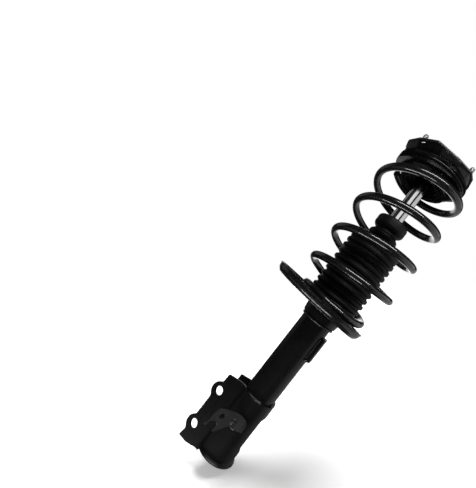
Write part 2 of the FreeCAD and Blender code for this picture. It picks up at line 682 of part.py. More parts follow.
def bump_stop():
    waist = BUMP_NECK_R
    second = BUMP_SECOND_R
    return spin([(BUMP_BORE_R, CAP_TOP), (BUMP_FOOT_R, CAP_TOP), (BUMP_FOOT_R, CAP_TOP + 9),
                 (waist, CAP_TOP + 14), (second - 2, BUMP_THIRD_Z - 5), (second, BUMP_THIRD_Z),
                 (second - 2, BUMP_THIRD_Z + 4), (waist, BUMP_SECOND_NECK_Z), (second - 2, BUMP_SECOND_Z - 5),
                 (second, BUMP_SECOND_Z), (second - 2, BUMP_SECOND_Z + 3.5), (waist, BUMP_NECK_Z),
                 (BUMP_HEAD_R - 1.5, BUMP_NECK_Z + 5), (BUMP_HEAD_R, BUMP_NECK_Z + 8),
                 (BUMP_HEAD_R, BUMP_TOP - BUMP_EDGE),
                 (BUMP_HEAD_R - 0.3 * BUMP_EDGE, BUMP_TOP - 0.3 * BUMP_EDGE),
                 (BUMP_HEAD_R - BUMP_EDGE, BUMP_TOP), (BUMP_BORE_R, BUMP_TOP)])


def folded_sheet(radius, half_gap, bend, reach):
    """Outline, seen from above, of a sheet that goes round the tube and on to -X."""
    centre_y = half_gap + bend
    centre_x = -math.sqrt((radius + bend) ** 2 - centre_y ** 2)
    touch = Vector(centre_x, centre_y, 0) * (radius / (radius + bend))
    leave = Vector(centre_x, half_gap, 0)
    away = (touch - Vector(centre_x, centre_y, 0)).normalize() + Vector(0, -1, 0)
    middle = Vector(centre_x, centre_y, 0) + away.normalize() * bend
    mirror = [Vector(p.x, -p.y, 0) for p in (touch, middle, leave)]
    far = Vector(reach, half_gap, 0)
    near = Vector(reach, -half_gap, 0)
    edges = [Part.makeLine(far, leave), Part.Arc(leave, middle, touch).toShape(),
             Part.Arc(touch, Vector(radius, 0, 0), mirror[0]).toShape(),
             Part.Arc(mirror[0], mirror[1], mirror[2]).toShape(), Part.makeLine(mirror[2], near),
             Part.makeLine(near, far)]
    return Part.Face(Part.Wire(edges))


def flange_side_view():
    """Side view of the knuckle bracket, extruded across its full width."""
    upper_z = BOLT_UPPER_Z - LOBE_DROP
    lower_z = upper_z - BOLT_SPACING
    foot_z = BOLT_UPPER_Z - BOLT_SPACING - FOOT_DROP
    far_x = 2 * TUBE_R
    rise_top = math.sqrt(LOBE_EDGE_R ** 2 - (FLANGE_TOP_X - BOLT_X) ** 2)
    rise_waist = math.sqrt(LOBE_EDGE_R ** 2 - (FLANGE_WAIST_X - BOLT_X) ** 2)
    tip_x = BOLT_X - LOBE_EDGE_R
    joints = [Vector(FLANGE_TOP_X, 0, upper_z + rise_top), Vector(FLANGE_WAIST_X, 0, upper_z - rise_waist),
              Vector(FLANGE_WAIST_X, 0, lower_z + rise_waist), Vector(FLANGE_WAIST_X, 0, lower_z - rise_waist)]
    corner = Vector(FLANGE_TOP_X, 0, BOLT_UPPER_Z + CORNER_RISE)
    top = [Vector(far_x, 0, WRAP_TOP)] + [Vector(x, 0, WRAP_TOP - drop) for x, drop in TOP_EDGE] + [corner]
    foot = [Vector(FLANGE_FOOT_X, 0, foot_z)] + [Vector(x, 0, foot_z + rise) for x, rise in FOOT_EDGE]
    foot += [Vector(FOOT_EDGE_END, 0, WRAP_LOW), Vector(far_x, 0, WRAP_LOW)]
    edges = [Part.makeLine(a, b) for a, b in zip(top, top[1:])]
    edges.append(Part.makeLine(corner, joints[0]))
    edges.append(Part.Arc(joints[0], Vector(tip_x, 0, upper_z), joints[1]).toShape())
    edges.append(Part.makeLine(joints[1], joints[2]))
    edges.append(Part.Arc(joints[2], Vector(tip_x, 0, lower_z), joints[3]).toShape())
    edges.append(Part.makeLine(joints[3], foot[0]))
    edges += [Part.makeLine(a, b) for a, b in zip(foot, foot[1:])]
    edges.append(Part.makeLine(foot[-1], top[0]))
    half_w = 2 * TUBE_R
    slab = Part.Face(Part.Wire(edges)).extrude(Vector(0, 2 * half_w, 0))
    slab.translate(Vector(0, -half_w, 0))

    def across_edges(shape, spots):
        found = []
        for edge in shape.Edges:
            ends = [v.Point for v in edge.Vertexes]
            if len(ends) == 2 and abs(ends[0].y - ends[1].y) > half_w:
                if any(math.hypot(ends[0].x - j.x, ends[0].z - j.z) < 0.01 for j in spots):
                    found.append(edge)
        return found

    slab = slab.makeFillet(LOBE_BLEND_R, across_edges(slab, joints))
    return slab.makeFillet(FLANGE_CORNER_R, across_edges(slab, [corner]))


def knuckle_bracket():
    bore = TUBE_R + KNUCKLE_CLEAR
    outer = bore + KNUCKLE_SHEET
    half_gap = FLANGE_GAP / 2
    reach = BOLT_X - 2 * LOBE_EDGE_R
    view = flange_side_view()
    low = view.BoundBox.ZMin - 1
    outside = folded_sheet(outer, half_gap + KNUCKLE_SHEET, KNUCKLE_BEND_R, reach)
    inside = folded_sheet(bore, half_gap, KNUCKLE_BEND_R + KNUCKLE_SHEET, reach)
    sheet = outside.cut(inside).extrude(Vector(0, 0, view.BoundBox.ZMax + 1 - low))
    sheet.translate(Vector(0, 0, low))
    sheet = sheet.common(view)
    rim = WRAP_LOW - FLARE_H
    flare = spin([(bore, WRAP_LOW), (outer, WRAP_LOW), (outer + FLARE_OUT * 0.6, rim + 3),
                  (outer + FLARE_OUT, rim + 1.6), (outer + FLARE_OUT, rim), (outer + FLARE_OUT - 2.6, rim),
                  (bore + FLARE_OUT * 0.5, rim + 3)])
    side = 4 * TUBE_R
    flare = flare.common(Part.makeBox(side, side, side, Vector(FLARE_FROM_X, -side / 2, rim - side / 2)))
    sheet = sheet.fuse(flare)
    window = Part.makeBox(side, 2 * WINDOW_HALF_W, WINDOW_TOP - WINDOW_LOW,
                          Vector(TUBE_R / 2, -WINDOW_HALF_W, WINDOW_LOW))
    window = window.makeFillet(WINDOW_CORNER_R, [e for e in window.Edges if e.Length > side - 1])
    window.rotate(ORIGIN, Z_AXIS, WINDOW_AZIMUTH)
    sheet = sheet.cut(window)
    for z in (BOLT_UPPER_Z, BOLT_UPPER_Z - BOLT_SPACING):
        sheet = sheet.cut(Part.makeCylinder(BOLT_HOLE_R, side, Vector(BOLT_X, -side / 2, z), Vector(0, 1, 0)))
    return sheet.removeSplitter()


def hose_bracket():
    inner = TUBE_R + KNUCKLE_CLEAR + KNUCKLE_SHEET + PRESS
    outer = inner + HOSE_PLATE_T
    low = HOSE_NOTCH_Z - HOSE_REACH
    high = HOSE_NOTCH_Z + HOSE_REACH
    across = polar(1, HOSE_PLATE_AZIMUTH, 0)
    along = polar(1, HOSE_PLATE_AZIMUTH - 90, 0)
    face_d = outer * math.cos(math.radians(HOSE_WRAP_TO - HOSE_PLATE_AZIMUTH))
    back_turn = math.degrees(math.acos((face_d - HOSE_PLATE_T) / inner))
    back_azimuth = HOSE_PLATE_AZIMUTH - back_turn

    def arc(radius, first, last):
        return Part.Arc(polar(radius, first, low), polar(radius, (first + last) / 2, low),
                        polar(radius, last, low)).toShape()

    face_bend = polar(outer, HOSE_WRAP_TO, low)
    back_bend = polar(inner, back_azimuth, low)
    face_end = across * face_d + along * HOSE_REACH + Vector(0, 0, low)
    back_end = face_end - across * HOSE_PLATE_T
    edges = [arc(outer, HOSE_WRAP_FROM, HOSE_WRAP_TO), Part.makeLine(face_bend, face_end),
             Part.makeLine(face_end, back_end), Part.makeLine(back_end, back_bend),
             arc(inner, back_azimuth, HOSE_WRAP_FROM),
             Part.makeLine(polar(inner, HOSE_WRAP_FROM, low), polar(outer, HOSE_WRAP_FROM, low))]
    strip = Part.Face(Part.Wire(edges)).extrude(Vector(0, 0, high - low))

    def spot(s, z):
        return along * s + Vector(0, 0, z)

    left = HOSE_NOTCH_S + HOSE_NOTCH_R
    right = HOSE_NOTCH_S - HOSE_NOTCH_R
    top = [spot(s, z) for s, z in HOSE_TOP_EDGE]
    end = spot(HOSE_END_S, HOSE_END_Z)
    end_mid = spot((3 * HOSE_END_S + HOSE_TOP_EDGE[-1][0]) / 4, (HOSE_END_Z + 2 * HOSE_TOP_EDGE[-1][1]) / 3)
    lower = [end] + [spot(s, z) for s, z in HOSE_LOW_EDGE] + [spot(right, HOSE_LOW_EDGE[-1][1]),
                                                              spot(right, HOSE_NOTCH_Z)]
    prong = [spot(left, HOSE_NOTCH_Z), spot(left, HOSE_PRONG_LOW)]
    prong += [spot(s, z) for s, z in HOSE_OUTER_EDGE] + [top[0]]
    outline = [Part.makeLine(a, b) for a, b in zip(top, top[1:])]
    outline.append(Part.Arc(top[-1], end_mid, end).toShape())
    outline += [Part.makeLine(a, b) for a, b in zip(lower, lower[1:])]
    outline.append(Part.Arc(lower[-1], spot(HOSE_NOTCH_S, HOSE_NOTCH_Z + HOSE_NOTCH_R), prong[0]).toShape())
    outline += [Part.makeLine(a, b) for a, b in zip(prong, prong[1:])]
    plate = strip.common(Part.Face(Part.Wire(outline)).extrude(across * (2 * outer)))
    hole = Part.makeCylinder(HOSE_HOLE_R, 2 * outer, spot(HOSE_HOLE_S, HOSE_HOLE_Z), across)
    centre = across * (face_d - HOSE_PLATE_T / 2) + spot(HOSE_HOLE_S, HOSE_HOLE_Z)
    print("hose hole centre", [round(v, 3) for v in centre], "axis", [round(v, 6) for v in across])
    return plate.cut(hole)


def side_bracket():
    back = math.sqrt(TUBE_R ** 2 - SIDE_HALF_W ** 2) - 4
    half = SIDE_HALF_W
    box = Part.makeBox(SIDE_FACE_R - back, 2 * half, SIDE_TOP - SIDE_LOW, Vector(back, -half, SIDE_LOW))
    bends = [e for e in upright_edges(box) if e.Vertexes[0].X > SIDE_FACE_R - 1]
    box = box.makeFillet(SIDE_BEND_R, bends)
    inner = half - SIDE_SHEET
    hollow = Part.makeBox(SIDE_FACE_R - SIDE_SHEET - back + 5, 2 * inner, SIDE_TOP - SIDE_LOW + 4,
                          Vector(back - 5, -inner, SIDE_LOW - 2))
    channel = box.cut(hollow).cut(cylinder(TUBE_R + PRESS, SIDE_LOW - 5, SIDE_TOP + 5))
    channel.rotate(ORIGIN, Z_AXIS, SIDE_AZIMUTH)
    return channel


sleeve = mount_sleeve()
pan = lower_spring_seat()

save("mount_plate", mount_plate())
save("tower_studs", tower_studs())
save("mount_sleeve", sleeve)
save("mount_rubber", mount_rubber(sleeve))
save("upper_bearing_race", race(UPPER_RACE_LOW, MOUNT_BOTTOM))
save("lower_bearing_race", race(LOWER_RACE_LOW, LOWER_RACE_TOP))
save("bearing_balls", Part.makeCompound(bearing_balls()))
save("bearing_cage", bearing_cage())
save("upper_spring_seat", upper_spring_seat())
save("upper_insulator", upper_insulator())
save("coil_spring", coil_spring())
save("lower_spring_seat", pan)
save("lower_insulator", lower_insulator(pan))
save("seat_collar", seat_collar())
save("strut_tube", ring(TUBE_R, TUBE_R - TUBE_WALL, TUBE_LOW, TUBE_TOP))
save("base_cup", base_cup())
save("base_valve", base_valve())
save("pressure_cylinder", ring(CYLINDER_R + CYLINDER_WALL, CYLINDER_R, VALVE_STEP, GUIDE_STEP))
save("piston_rod", piston_rod())
save("piston", piston())
save("piston_nut", nut(PISTON_NUT_AF, ROD_FOOT_R, ROD_FOOT_Z - PISTON_H - PISTON_NUT_H, PISTON_NUT_H))
save("rebound_stop", ring(STOP_R, ROD_R + PRESS, STOP_LOW, STOP_TOP))
save("rod_guide", rod_guide())
save("rod_seal", ring(TUBE_R - TUBE_WALL - PRESS, ROD_R + RUNNING, GUIDE_TOP, SEAL_TOP))
save("tube_cap", tube_cap())
save("rod_washer", ring(WASHER_R, ROD_THREAD_R + PRESS, SLEEVE_TOP, SLEEVE_TOP + WASHER_T))
save("rod_nut", nut(NUT_AF, ROD_THREAD_R, SLEEVE_TOP + WASHER_T, NUT_H))
save("dust_boot", dust_boot())
save("bump_stop", bump_stop())
save("knuckle_bracket", knuckle_bracket())
save("hose_bracket", hose_bracket())
save("side_bracket", side_bracket())
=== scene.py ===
import math

import bmesh
import bpy
from mathutils import Matrix, Vector


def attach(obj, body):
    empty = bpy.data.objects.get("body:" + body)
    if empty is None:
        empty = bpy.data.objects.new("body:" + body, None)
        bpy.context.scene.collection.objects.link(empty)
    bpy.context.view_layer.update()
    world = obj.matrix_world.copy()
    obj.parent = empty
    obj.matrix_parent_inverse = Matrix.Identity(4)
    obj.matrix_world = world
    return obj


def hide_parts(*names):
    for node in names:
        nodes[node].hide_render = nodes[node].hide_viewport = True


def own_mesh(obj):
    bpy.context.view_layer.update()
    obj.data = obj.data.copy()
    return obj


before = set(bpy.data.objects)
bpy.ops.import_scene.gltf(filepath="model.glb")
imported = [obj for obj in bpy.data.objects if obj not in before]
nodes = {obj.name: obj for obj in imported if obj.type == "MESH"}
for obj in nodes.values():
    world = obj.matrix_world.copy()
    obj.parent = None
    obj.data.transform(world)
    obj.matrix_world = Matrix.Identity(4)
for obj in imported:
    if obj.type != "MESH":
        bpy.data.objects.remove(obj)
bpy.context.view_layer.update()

MM = 0.001
Z_AXIS = Vector((0, 0, 1))
scene = bpy.context.scene
scene.view_settings.view_transform = "Standard"


# Camera: its directions in the frame of the upright strut, turned by the roll of the photograph
CAMERA_PLACE = Vector((0.1705, -0.4520, -0.2615))
CAMERA_ROLL = math.radians(37.9)
CAMERA_LENS = 22.16
CAMERA_SHIFT_X = -0.1406
CAMERA_SHIFT_Y = 0.0573
forward = Vector((-0.4695, 0.8829, 0.0044)).normalized()
level_right = Vector((0.8829, 0.4695, 0.0)).normalized()
level_up = level_right.cross(forward).normalized()
right = level_right * math.cos(CAMERA_ROLL) + level_up * math.sin(CAMERA_ROLL)
up = level_up * math.cos(CAMERA_ROLL) - level_right * math.sin(CAMERA_ROLL)


def photo_camera():
    camera = bpy.data.objects.new("camera", bpy.data.cameras.new("camera"))
    scene.collection.objects.link(camera)
    turn = Matrix((right, up, -forward)).transposed()
    camera.matrix_world = Matrix.Translation(CAMERA_PLACE) @ turn.to_4x4()
    camera.data.sensor_width = 36.0
    camera.data.lens = CAMERA_LENS
    camera.data.shift_x = CAMERA_SHIFT_X
    camera.data.shift_y = CAMERA_SHIFT_Y
    camera.data.clip_start = 0.01
    scene.camera = camera


photo_camera()


# Helpers: profiles are in millimetres as (radius, height), sweeps are in metres
def polar(radius, azimuth, z):
    a = math.radians(azimuth)
    return Vector((radius * math.cos(a), radius * math.sin(a), z)) * MM


def clamp(x):
    return min(1.0, max(0.0, x))


def smooth(x):
    x = clamp(x)
    return x * x * (3 - 2 * x)


def link(name, mesh, body, material, replaced=()):
    obj = bpy.data.objects.new(name, mesh)
    scene.collection.objects.link(obj)
    mesh.materials.append(material)
    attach(obj, body)
    if replaced:
        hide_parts(*replaced)
    return obj


def finish_mesh(mesh, angle=50):
    bm = bmesh.new()
    bm.from_mesh(mesh)
    bmesh.ops.remove_doubles(bm, verts=bm.verts, dist=1e-6)
    bmesh.ops.recalc_face_normals(bm, faces=bm.faces)
    bm.to_mesh(mesh)
    bm.free()
    mesh.polygons.foreach_set("use_smooth", [True] * len(mesh.polygons))
    mesh.set_sharp_from_angle(angle=math.radians(angle))
    mesh.update()
    return mesh


def new_mesh(name, verts, faces, angle=50):
    mesh = bpy.data.meshes.new(name)
    mesh.from_pydata(verts, [], faces)
    return finish_mesh(mesh, angle)


def rounded(profile, radius, steps=5):
    """A closed outline with an arc of about that radius at each corner."""
    out = []
    count = len(profile)
    for i, here in enumerate(profile):
        r_here = radius[i] if isinstance(radius, (list, tuple)) else radius
        p = Vector(here)
        a = Vector(profile[i - 1]) - p
        b = Vector(profile[(i + 1) % count]) - p
        half = a.angle(b) / 2
        if half > math.radians(88):
            out.append(tuple(p))
            continue
        reach = min(r_here / math.tan(half), a.length * 0.48, b.length * 0.48)
        start = p + a.normalized() * reach
        end = p + b.normalized() * reach
        size = reach * math.tan(half)
        middle = p + (a.normalized() + b.normalized()).normalized() * (size / math.sin(half))
        u = start - middle
        v = end - middle
        angle = u.angle(v)
        for k in range(steps + 1):
            f = k / steps
            w = (u * math.sin((1 - f) * angle) + v * math.sin(f * angle)) / math.sin(angle)
            out.append(tuple(middle + w))
    return out


# A profile that reaches the axis starts this close to it
AXIS = 0.01


def lathe(profile, centre=(0, 0), around=128, warp=None):
    """Mesh of a closed profile turned about an upright line through centre."""
    verts = []
    faces = []
    n = len(profile)
    for i in range(around):
        a = 2 * math.pi * i / around
        for r, z in profile:
            if warp:
                r, z = warp(r, z, a)
            verts.append(((centre[0] + r * math.cos(a)) * MM, (centre[1] + r * math.sin(a)) * MM, z * MM))
    for i in range(around):
        j = (i + 1) % around
        for k in range(n):
            m = (k + 1) % n
            faces.append((i * n + k, j * n + k, j * n + m, i * n + m))
    return new_mesh("lathe", verts, faces)


def skin(rows, around):
    """Faces between rings of points, with a lid on the first and the last ring."""
    faces = []
    for i in range(rows - 1):
        for k in range(around):
            m = (k + 1) % around
            faces.append((i * around + k, i * around + m, (i + 1) * around + m, (i + 1) * around + k))
    faces.append(tuple(reversed(range(around))))
    faces.append(tuple((rows - 1) * around + k for k in range(around)))
    return faces


def sweep(points, radius, around, end_round, swell=None):
    """Closed tube along points with slightly rounded ends."""
    tangents = []
    for i in range(len(points)):
        a = points[max(0, i - 1)]
        b = points[min(len(points) - 1, i + 1)]
        tangents.append((b - a).normalized())
    stations = []
    for i, (p, t) in enumerate(zip(points, tangents)):
        stations.append((p, t, radius * (swell(i) if swell else 1.0)))
    for (p, t, r), sign in ((stations[0], 1), (stations[-1], -1)):
        cap = [(p, t, r - end_round), (p + t * end_round * 0.3 * sign, t, r - end_round * 0.3),
               (p + t * end_round * sign, t, r)]
        if sign > 0:
            stations = cap + stations[1:]
        else:
            stations = stations[:-1] + cap[::-1]
    side = Z_AXIS.cross(tangents[0])
    if side.length < 1e-4:
        side = Vector((1, 0, 0)).cross(tangents[0])
    verts = []
    for centre, tangent, r in stations:
        side = (side - tangent * side.dot(tangent)).normalized()
        other = tangent.cross(side)
        for k in range(around):
            a = 2 * math.pi * k / around
            verts.append(centre + (side * math.cos(a) + other * math.sin(a)) * r)
    return new_mesh("sweep", verts, skin(len(stations), around), 60)


def bead(points, radius, pitch=2.8, depth=0.16):
    """Weld bead: a sweep whose thickness rises and falls with each drop of weld."""
    length = [0.0]
    for a, b in zip(points, points[1:]):
        length.append(length[-1] + (b - a).length / MM)

    def swell(i):
        wave = 0.5 + 0.5 * math.cos(2 * math.pi * length[i] / pitch)
        slow = math.sin(length[i] * 0.37) * 0.05
        return 1.0 + depth * (wave ** 0.6 - 0.6) + slow

    return sweep(points, radius * MM, 16, radius * MM * 0.6, swell)


# Thread form: depth and run-out as shares of the pitch, and rows of points per turn
THREAD_DEPTH = 0.55
THREAD_RUN_OUT = 0.6
THREAD_ROWS = 8


def threaded(centre, crest, pitch, low, high, around=40):
    """Outside thread with closed ends that fades out towards both."""
    depth = pitch * THREAD_DEPTH
    run_out = pitch * THREAD_RUN_OUT
    rows = int((high - low) / pitch * THREAD_ROWS)
    verts = []
    for j in range(rows + 1):
        z = low + (high - low) * j / rows
        fade = min(1.0, (z - low) / run_out, (high - z) / run_out)
        for i in range(around):
            f = (z / pitch - i / around) % 1.0
            tooth = clamp(abs(2 * f - 1) * 1.3 - 0.15)
            r = min(crest - depth * (1 - tooth), crest - depth * (1 - fade))
            a = 2 * math.pi * i / around
            verts.append(((centre[0] + r * math.cos(a)) * MM, (centre[1] + r * math.sin(a)) * MM, z * MM))
    return new_mesh("thread", verts, skin(rows + 1, around), 70)


def joined(meshes):
    bm = bmesh.new()
    for mesh in meshes:
        bm.from_mesh(mesh)
    out = bpy.data.meshes.new("joined")
    bm.to_mesh(out)
    bm.free()
    out.update()
    return out


def slab(corners, thickness, direction, bevel):
    """Flat plate with broken edges; its corners and thickness are in metres."""
    bm = bmesh.new()
    low = [bm.verts.new(c) for c in corners]
    high = [bm.verts.new(c + direction * thickness) for c in corners]
    bm.faces.new(low)
    bm.faces.new(list(reversed(high)))
    for i in range(len(corners)):
        j = (i + 1) % len(corners)
        bm.faces.new((low[j], low[i], high[i], high[j]))
    bmesh.ops.recalc_face_normals(bm, faces=bm.faces)
    bmesh.ops.bevel(bm, geom=list(bm.edges), offset=bevel * MM, segments=3, affect="EDGES", profile=0.5)
    mesh = bpy.data.meshes.new("slab")
    bm.to_mesh(mesh)
    bm.free()
    return finish_mesh(mesh, 40)


# Materials
class Nodes:
    def __init__(self, name):
        self.material = bpy.data.materials.new(name)
        self.material.use_nodes = True
        self.tree = self.material.node_tree
        self.shader = self.tree.nodes["Principled BSDF"]
        self.coords = self.add("ShaderNodeTexCoord").outputs["Object"]

    def add(self, kind, **values):
        node = self.tree.nodes.new(kind)
        for key, value in values.items():
            setattr(node, key, value)
        return node

    def join(self, out, into):
        self.tree.links.new(out, into)

    def noise(self, scale, detail, rough, stretch=None):
        node = self.add("ShaderNodeTexNoise")
        node.inputs["Scale"].default_value = scale
        node.inputs["Detail"].default_value = detail
        node.inputs["Roughness"].default_value = rough
        if stretch:
            mapping = self.add("ShaderNodeMapping")
            mapping.inputs["Scale"].default_value = stretch
            self.join(self.coords, mapping.inputs["Vector"])
            self.join(mapping.outputs["Vector"], node.inputs["Vector"])
        else:
            self.join(self.coords, node.inputs["Vector"])
        return node.outputs["Fac"]

    def ramp(self, fac, low, high, a, b):
        node = self.add("ShaderNodeMapRange")
        node.inputs["From Min"].default_value = low
        node.inputs["From Max"].default_value = high
        node.inputs["To Min"].default_value = a
        node.inputs["To Max"].default_value = b
        self.join(fac, node.inputs["Value"])
        return node.outputs["Result"]

    def times(self, a, b):
        node = self.add("ShaderNodeMath", operation="MULTIPLY")
        self.join(a, node.inputs[0])
        self.join(b, node.inputs[1])
        return node.outputs[0]

    def mix(self, fac, a, b):
        node = self.add("ShaderNodeMix", data_type="RGBA")
        self.join(fac, node.inputs["Factor"])
        for socket, value in (("A", a), ("B", b)):
            slot = [s for s in node.inputs if s.name == socket and s.type == "RGBA"][0]
            if isinstance(value, tuple):
                slot.default_value = (*value, 1.0)
            else:
                self.join(value, slot)
        return [s for s in node.outputs if s.type == "RGBA"][0]

    def bump(self, height, strength, distance, chain=None):
        node = self.add("ShaderNodeBump")
        node.inputs["Strength"].default_value = strength
        node.inputs["Distance"].default_value = distance
        self.join(height, node.inputs["Height"])
        if chain:
            self.join(chain, node.inputs["Normal"])
        return node.outputs["Normal"]

    def edges(self, radius=0.0007):
        """1 along sharp edges, 0 on open surfaces."""
        node = self.add("ShaderNodeBevel", samples=4)
        node.inputs["Radius"].default_value = radius
        geometry = self.add("ShaderNodeNewGeometry")
        dot = self.add("ShaderNodeVectorMath", operation="DOT_PRODUCT")
        self.join(node.outputs["Normal"], dot.inputs[0])
        self.join(geometry.outputs["Normal"], dot.inputs[1])
        return self.ramp(dot.outputs["Value"], 0.985, 0.88, 0.0, 1.0)


def paler(colour, by):
    return tuple(c + by for c in colour)


def cool_grey(level, blue):
    return (level, level, level + blue)


def painted(name, colour, rough, specular, dust, wear, peel=0.15, coat=0.0, coat_rough=0.1):
    """Black paint over steel: orange peel, a trace of dust and paler worn edges."""
    n = Nodes(name)
    cloud = n.noise(38.0, 4.0, 0.55)
    fine = n.noise(850.0, 2.0, 0.5)
    speck = n.noise(300.0, 6.0, 0.7)
    base = n.mix(n.ramp(cloud, 0.42, 0.72, 0.0, 1.0), colour, paler(colour, dust))
    scuffed = n.times(n.edges(), n.ramp(speck, 0.42, 0.62, 0.15, 1.0))
    n.join(n.mix(scuffed, base, paler(colour, wear)), n.shader.inputs["Base Color"])
    n.join(n.ramp(speck, 0.3, 0.7, rough - 0.05, rough + 0.07), n.shader.inputs["Roughness"])
    n.shader.inputs["Specular IOR Level"].default_value = specular
    n.shader.inputs["Coat Weight"].default_value = coat
    n.shader.inputs["Coat Roughness"].default_value = coat_rough
    n.join(n.bump(fine, peel, 0.00003, n.bump(cloud, 0.1, 0.0002)), n.shader.inputs["Normal"])
    return n.material


def rubbery(name, colour, rough, grain=0.5, dust=0.006, specular=0.25, edge=0.004):
    """Moulded rubber: fine grain, uneven bloom and paler ridges."""
    n = Nodes(name)
    cloud = n.noise(60.0, 5.0, 0.6)
    grainy = n.noise(1500.0, 3.0, 0.6)
    streak = n.noise(45.0, 4.0, 0.6, (1.0, 1.0, 9.0))
    bloom = n.mix(n.ramp(cloud, 0.4, 0.75, 0.0, 1.0), colour, paler(colour, dust))
    n.join(n.mix(n.edges(0.0009), bloom, paler(colour, edge)), n.shader.inputs["Base Color"])
    n.join(n.ramp(streak, 0.3, 0.7, rough - 0.08, rough + 0.08), n.shader.inputs["Roughness"])
    n.shader.inputs["Specular IOR Level"].default_value = specular
    n.join(n.bump(grainy, grain, 0.00008), n.shader.inputs["Normal"])
    return n.material


def metal(name, colour, rough, lines=(1.0, 1.0, 30.0), tarnish=0.2, line_strength=0.12):
    """Bare or plated metal with fine working lines across the stretched axis."""
    n = Nodes(name)
    cloud = n.noise(90.0, 5.0, 0.6)
    grind = n.noise(160.0, 6.0, 0.7, lines)
    base = n.mix(n.ramp(cloud, 0.4, 0.8, 0.0, 1.0), colour, tuple(c * (1 - tarnish) for c in colour))
    n.join(base, n.shader.inputs["Base Color"])
    n.shader.inputs["Metallic"].default_value = 1.0
    n.join(n.ramp(grind, 0.3, 0.7, rough * 0.7, rough * 1.3), n.shader.inputs["Roughness"])
    n.join(n.bump(grind, line_strength, 0.00004), n.shader.inputs["Normal"])
    return n.material


paint_tube = painted("black_tube_paint", cool_grey(0.0025, 0.0001), rough=0.30, specular=0.30,
                     dust=0.001, wear=0.01)
paint_bracket = painted("black_bracket_paint", cool_grey(0.0022, 0.0002), rough=0.32, specular=0.24,
                        dust=0.0015, wear=0.01)
paint_pan = painted("black_pan_paint", cool_grey(0.0035, 0.0002), rough=0.20, specular=0.5,
                    dust=0.002, wear=0.01, peel=0.04)
paint_plate = painted("black_plate_coat", cool_grey(0.0060, 0.0005), rough=0.28, specular=0.5,
                      dust=0.003, wear=0.02)
paint_hose = painted("grey_black_bracket", cool_grey(0.012, 0.0004), rough=0.36, specular=0.35,
                     dust=0.004, wear=0.02)
powder = painted("spring_powder_coat", cool_grey(0.0030, 0.0002), rough=0.30, specular=0.2,
                 dust=0.0015, wear=0.004, peel=0.03, coat=1.0, coat_rough=0.035)
rubber_boot = rubbery("boot_rubber", cool_grey(0.0018, 0.0001), rough=0.46, grain=0.03,
                      dust=0.0008, specular=0.16, edge=0.001)
rubber_mount = rubbery("mount_rubber", cool_grey(0.0022, 0.0001), rough=0.15, grain=0.02,
                       dust=0.001, specular=0.26, edge=0.001)
rubber_seat = rubbery("insulator_rubber", cool_grey(0.0020, 0.0001), rough=0.24, grain=0.02,
                      dust=0.001, specular=0.13, edge=0.001)
rubber_seal = rubbery("seal_rubber", cool_grey(0.006, 0.0), rough=0.45)
foam_bump = rubbery("bump_stop_foam", cool_grey(0.0025, 0.0001), rough=0.45, grain=0.1,
                    dust=0.001, specular=0.16, edge=0.001)
plastic_seat = rubbery("upper_seat_black", cool_grey(0.0015, 0.0001), rough=0.14, grain=0.015,
                       dust=0.0006, specular=0.32, edge=0.001)
chrome = metal("rod_chrome", cool_grey(0.70, 0.01), rough=0.14, lines=(1.0, 1.0, 60.0),
               tarnish=0.04, line_strength=0.01)
zinc = metal("zinc_plate", cool_grey(0.84, 0.01), rough=0.30, lines=(8.0, 8.0, 8.0), tarnish=0.25)
steel_inner = metal("inner_steel", cool_grey(0.45, 0.01), rough=0.35)
bearing_steel = metal("bearing_steel", cool_grey(0.62, 0.01), rough=0.2)
cage_plastic = rubbery("cage_plastic", (0.5, 0.45, 0.32), rough=0.5, dust=0.02, edge=0.03)
weld_paint = painted("painted_weld", cool_grey(0.0070, 0.0005), rough=0.22, specular=0.5,
                     dust=0.003, wear=0.01, peel=0.3)


# Frame nodes that stay as they are: each gets a material, and pressed sheet, nut and washer get broken edges
def dress(node, material):
    for slot in nodes[node].material_slots:
        slot.material = material


def bevel_edges(obj, width, segments, angle):
    edge = obj.modifiers.new("edge", "BEVEL")
    edge.width = width * MM
    edge.segments = segments
    edge.limit_method = "ANGLE"
    edge.angle_limit = math.radians(angle)
    return edge


def soften(node, width, angle=38):
    """Broken edges on a CAD node, so that they catch the light."""
    obj = nodes[node]
    weld = obj.modifiers.new("weld", "WELD")
    weld.merge_threshold = 2e-6
    edge = bevel_edges(obj, width, 2, angle)
    edge.use_clamp_overlap = False
    shade = obj.modifiers.new("shade", "WEIGHTED_NORMAL")
    shade.keep_sharp = False
    shade.weight = 60


for node, material in {
    "mount_plate": paint_plate, "mount_sleeve": zinc, "upper_bearing_race": bearing_steel,
    "lower_bearing_race": bearing_steel, "bearing_balls": bearing_steel, "bearing_cage": cage_plastic,
    "upper_spring_seat": plastic_seat, "lower_spring_seat": paint_pan, "seat_collar": paint_tube,
    "strut_tube": paint_tube, "base_cup": paint_tube, "base_valve": steel_inner,
    "pressure_cylinder": steel_inner, "piston": steel_inner, "piston_nut": zinc, "rod_guide": steel_inner,
    "tube_cap": paint_tube, "rod_washer": zinc, "rod_nut": zinc, "knuckle_bracket": paint_bracket,
    "hose_bracket": paint_hose, "side_bracket": paint_bracket,
}.items():
    dress(node, material)

# The knuckle's flare is shallow, so only its sharper edges are broken
soften("knuckle_bracket", 0.7, 62)
for node, width in {"hose_bracket": 0.5, "side_bracket": 0.6, "mount_plate": 0.5,
                    "rod_nut": 0.3, "rod_washer": 0.3}.items():
    soften(node, width)


# Forms that take a node's place stay inside its faces, by one of these two gaps
INSIDE = 0.05
PRESS = 0.02

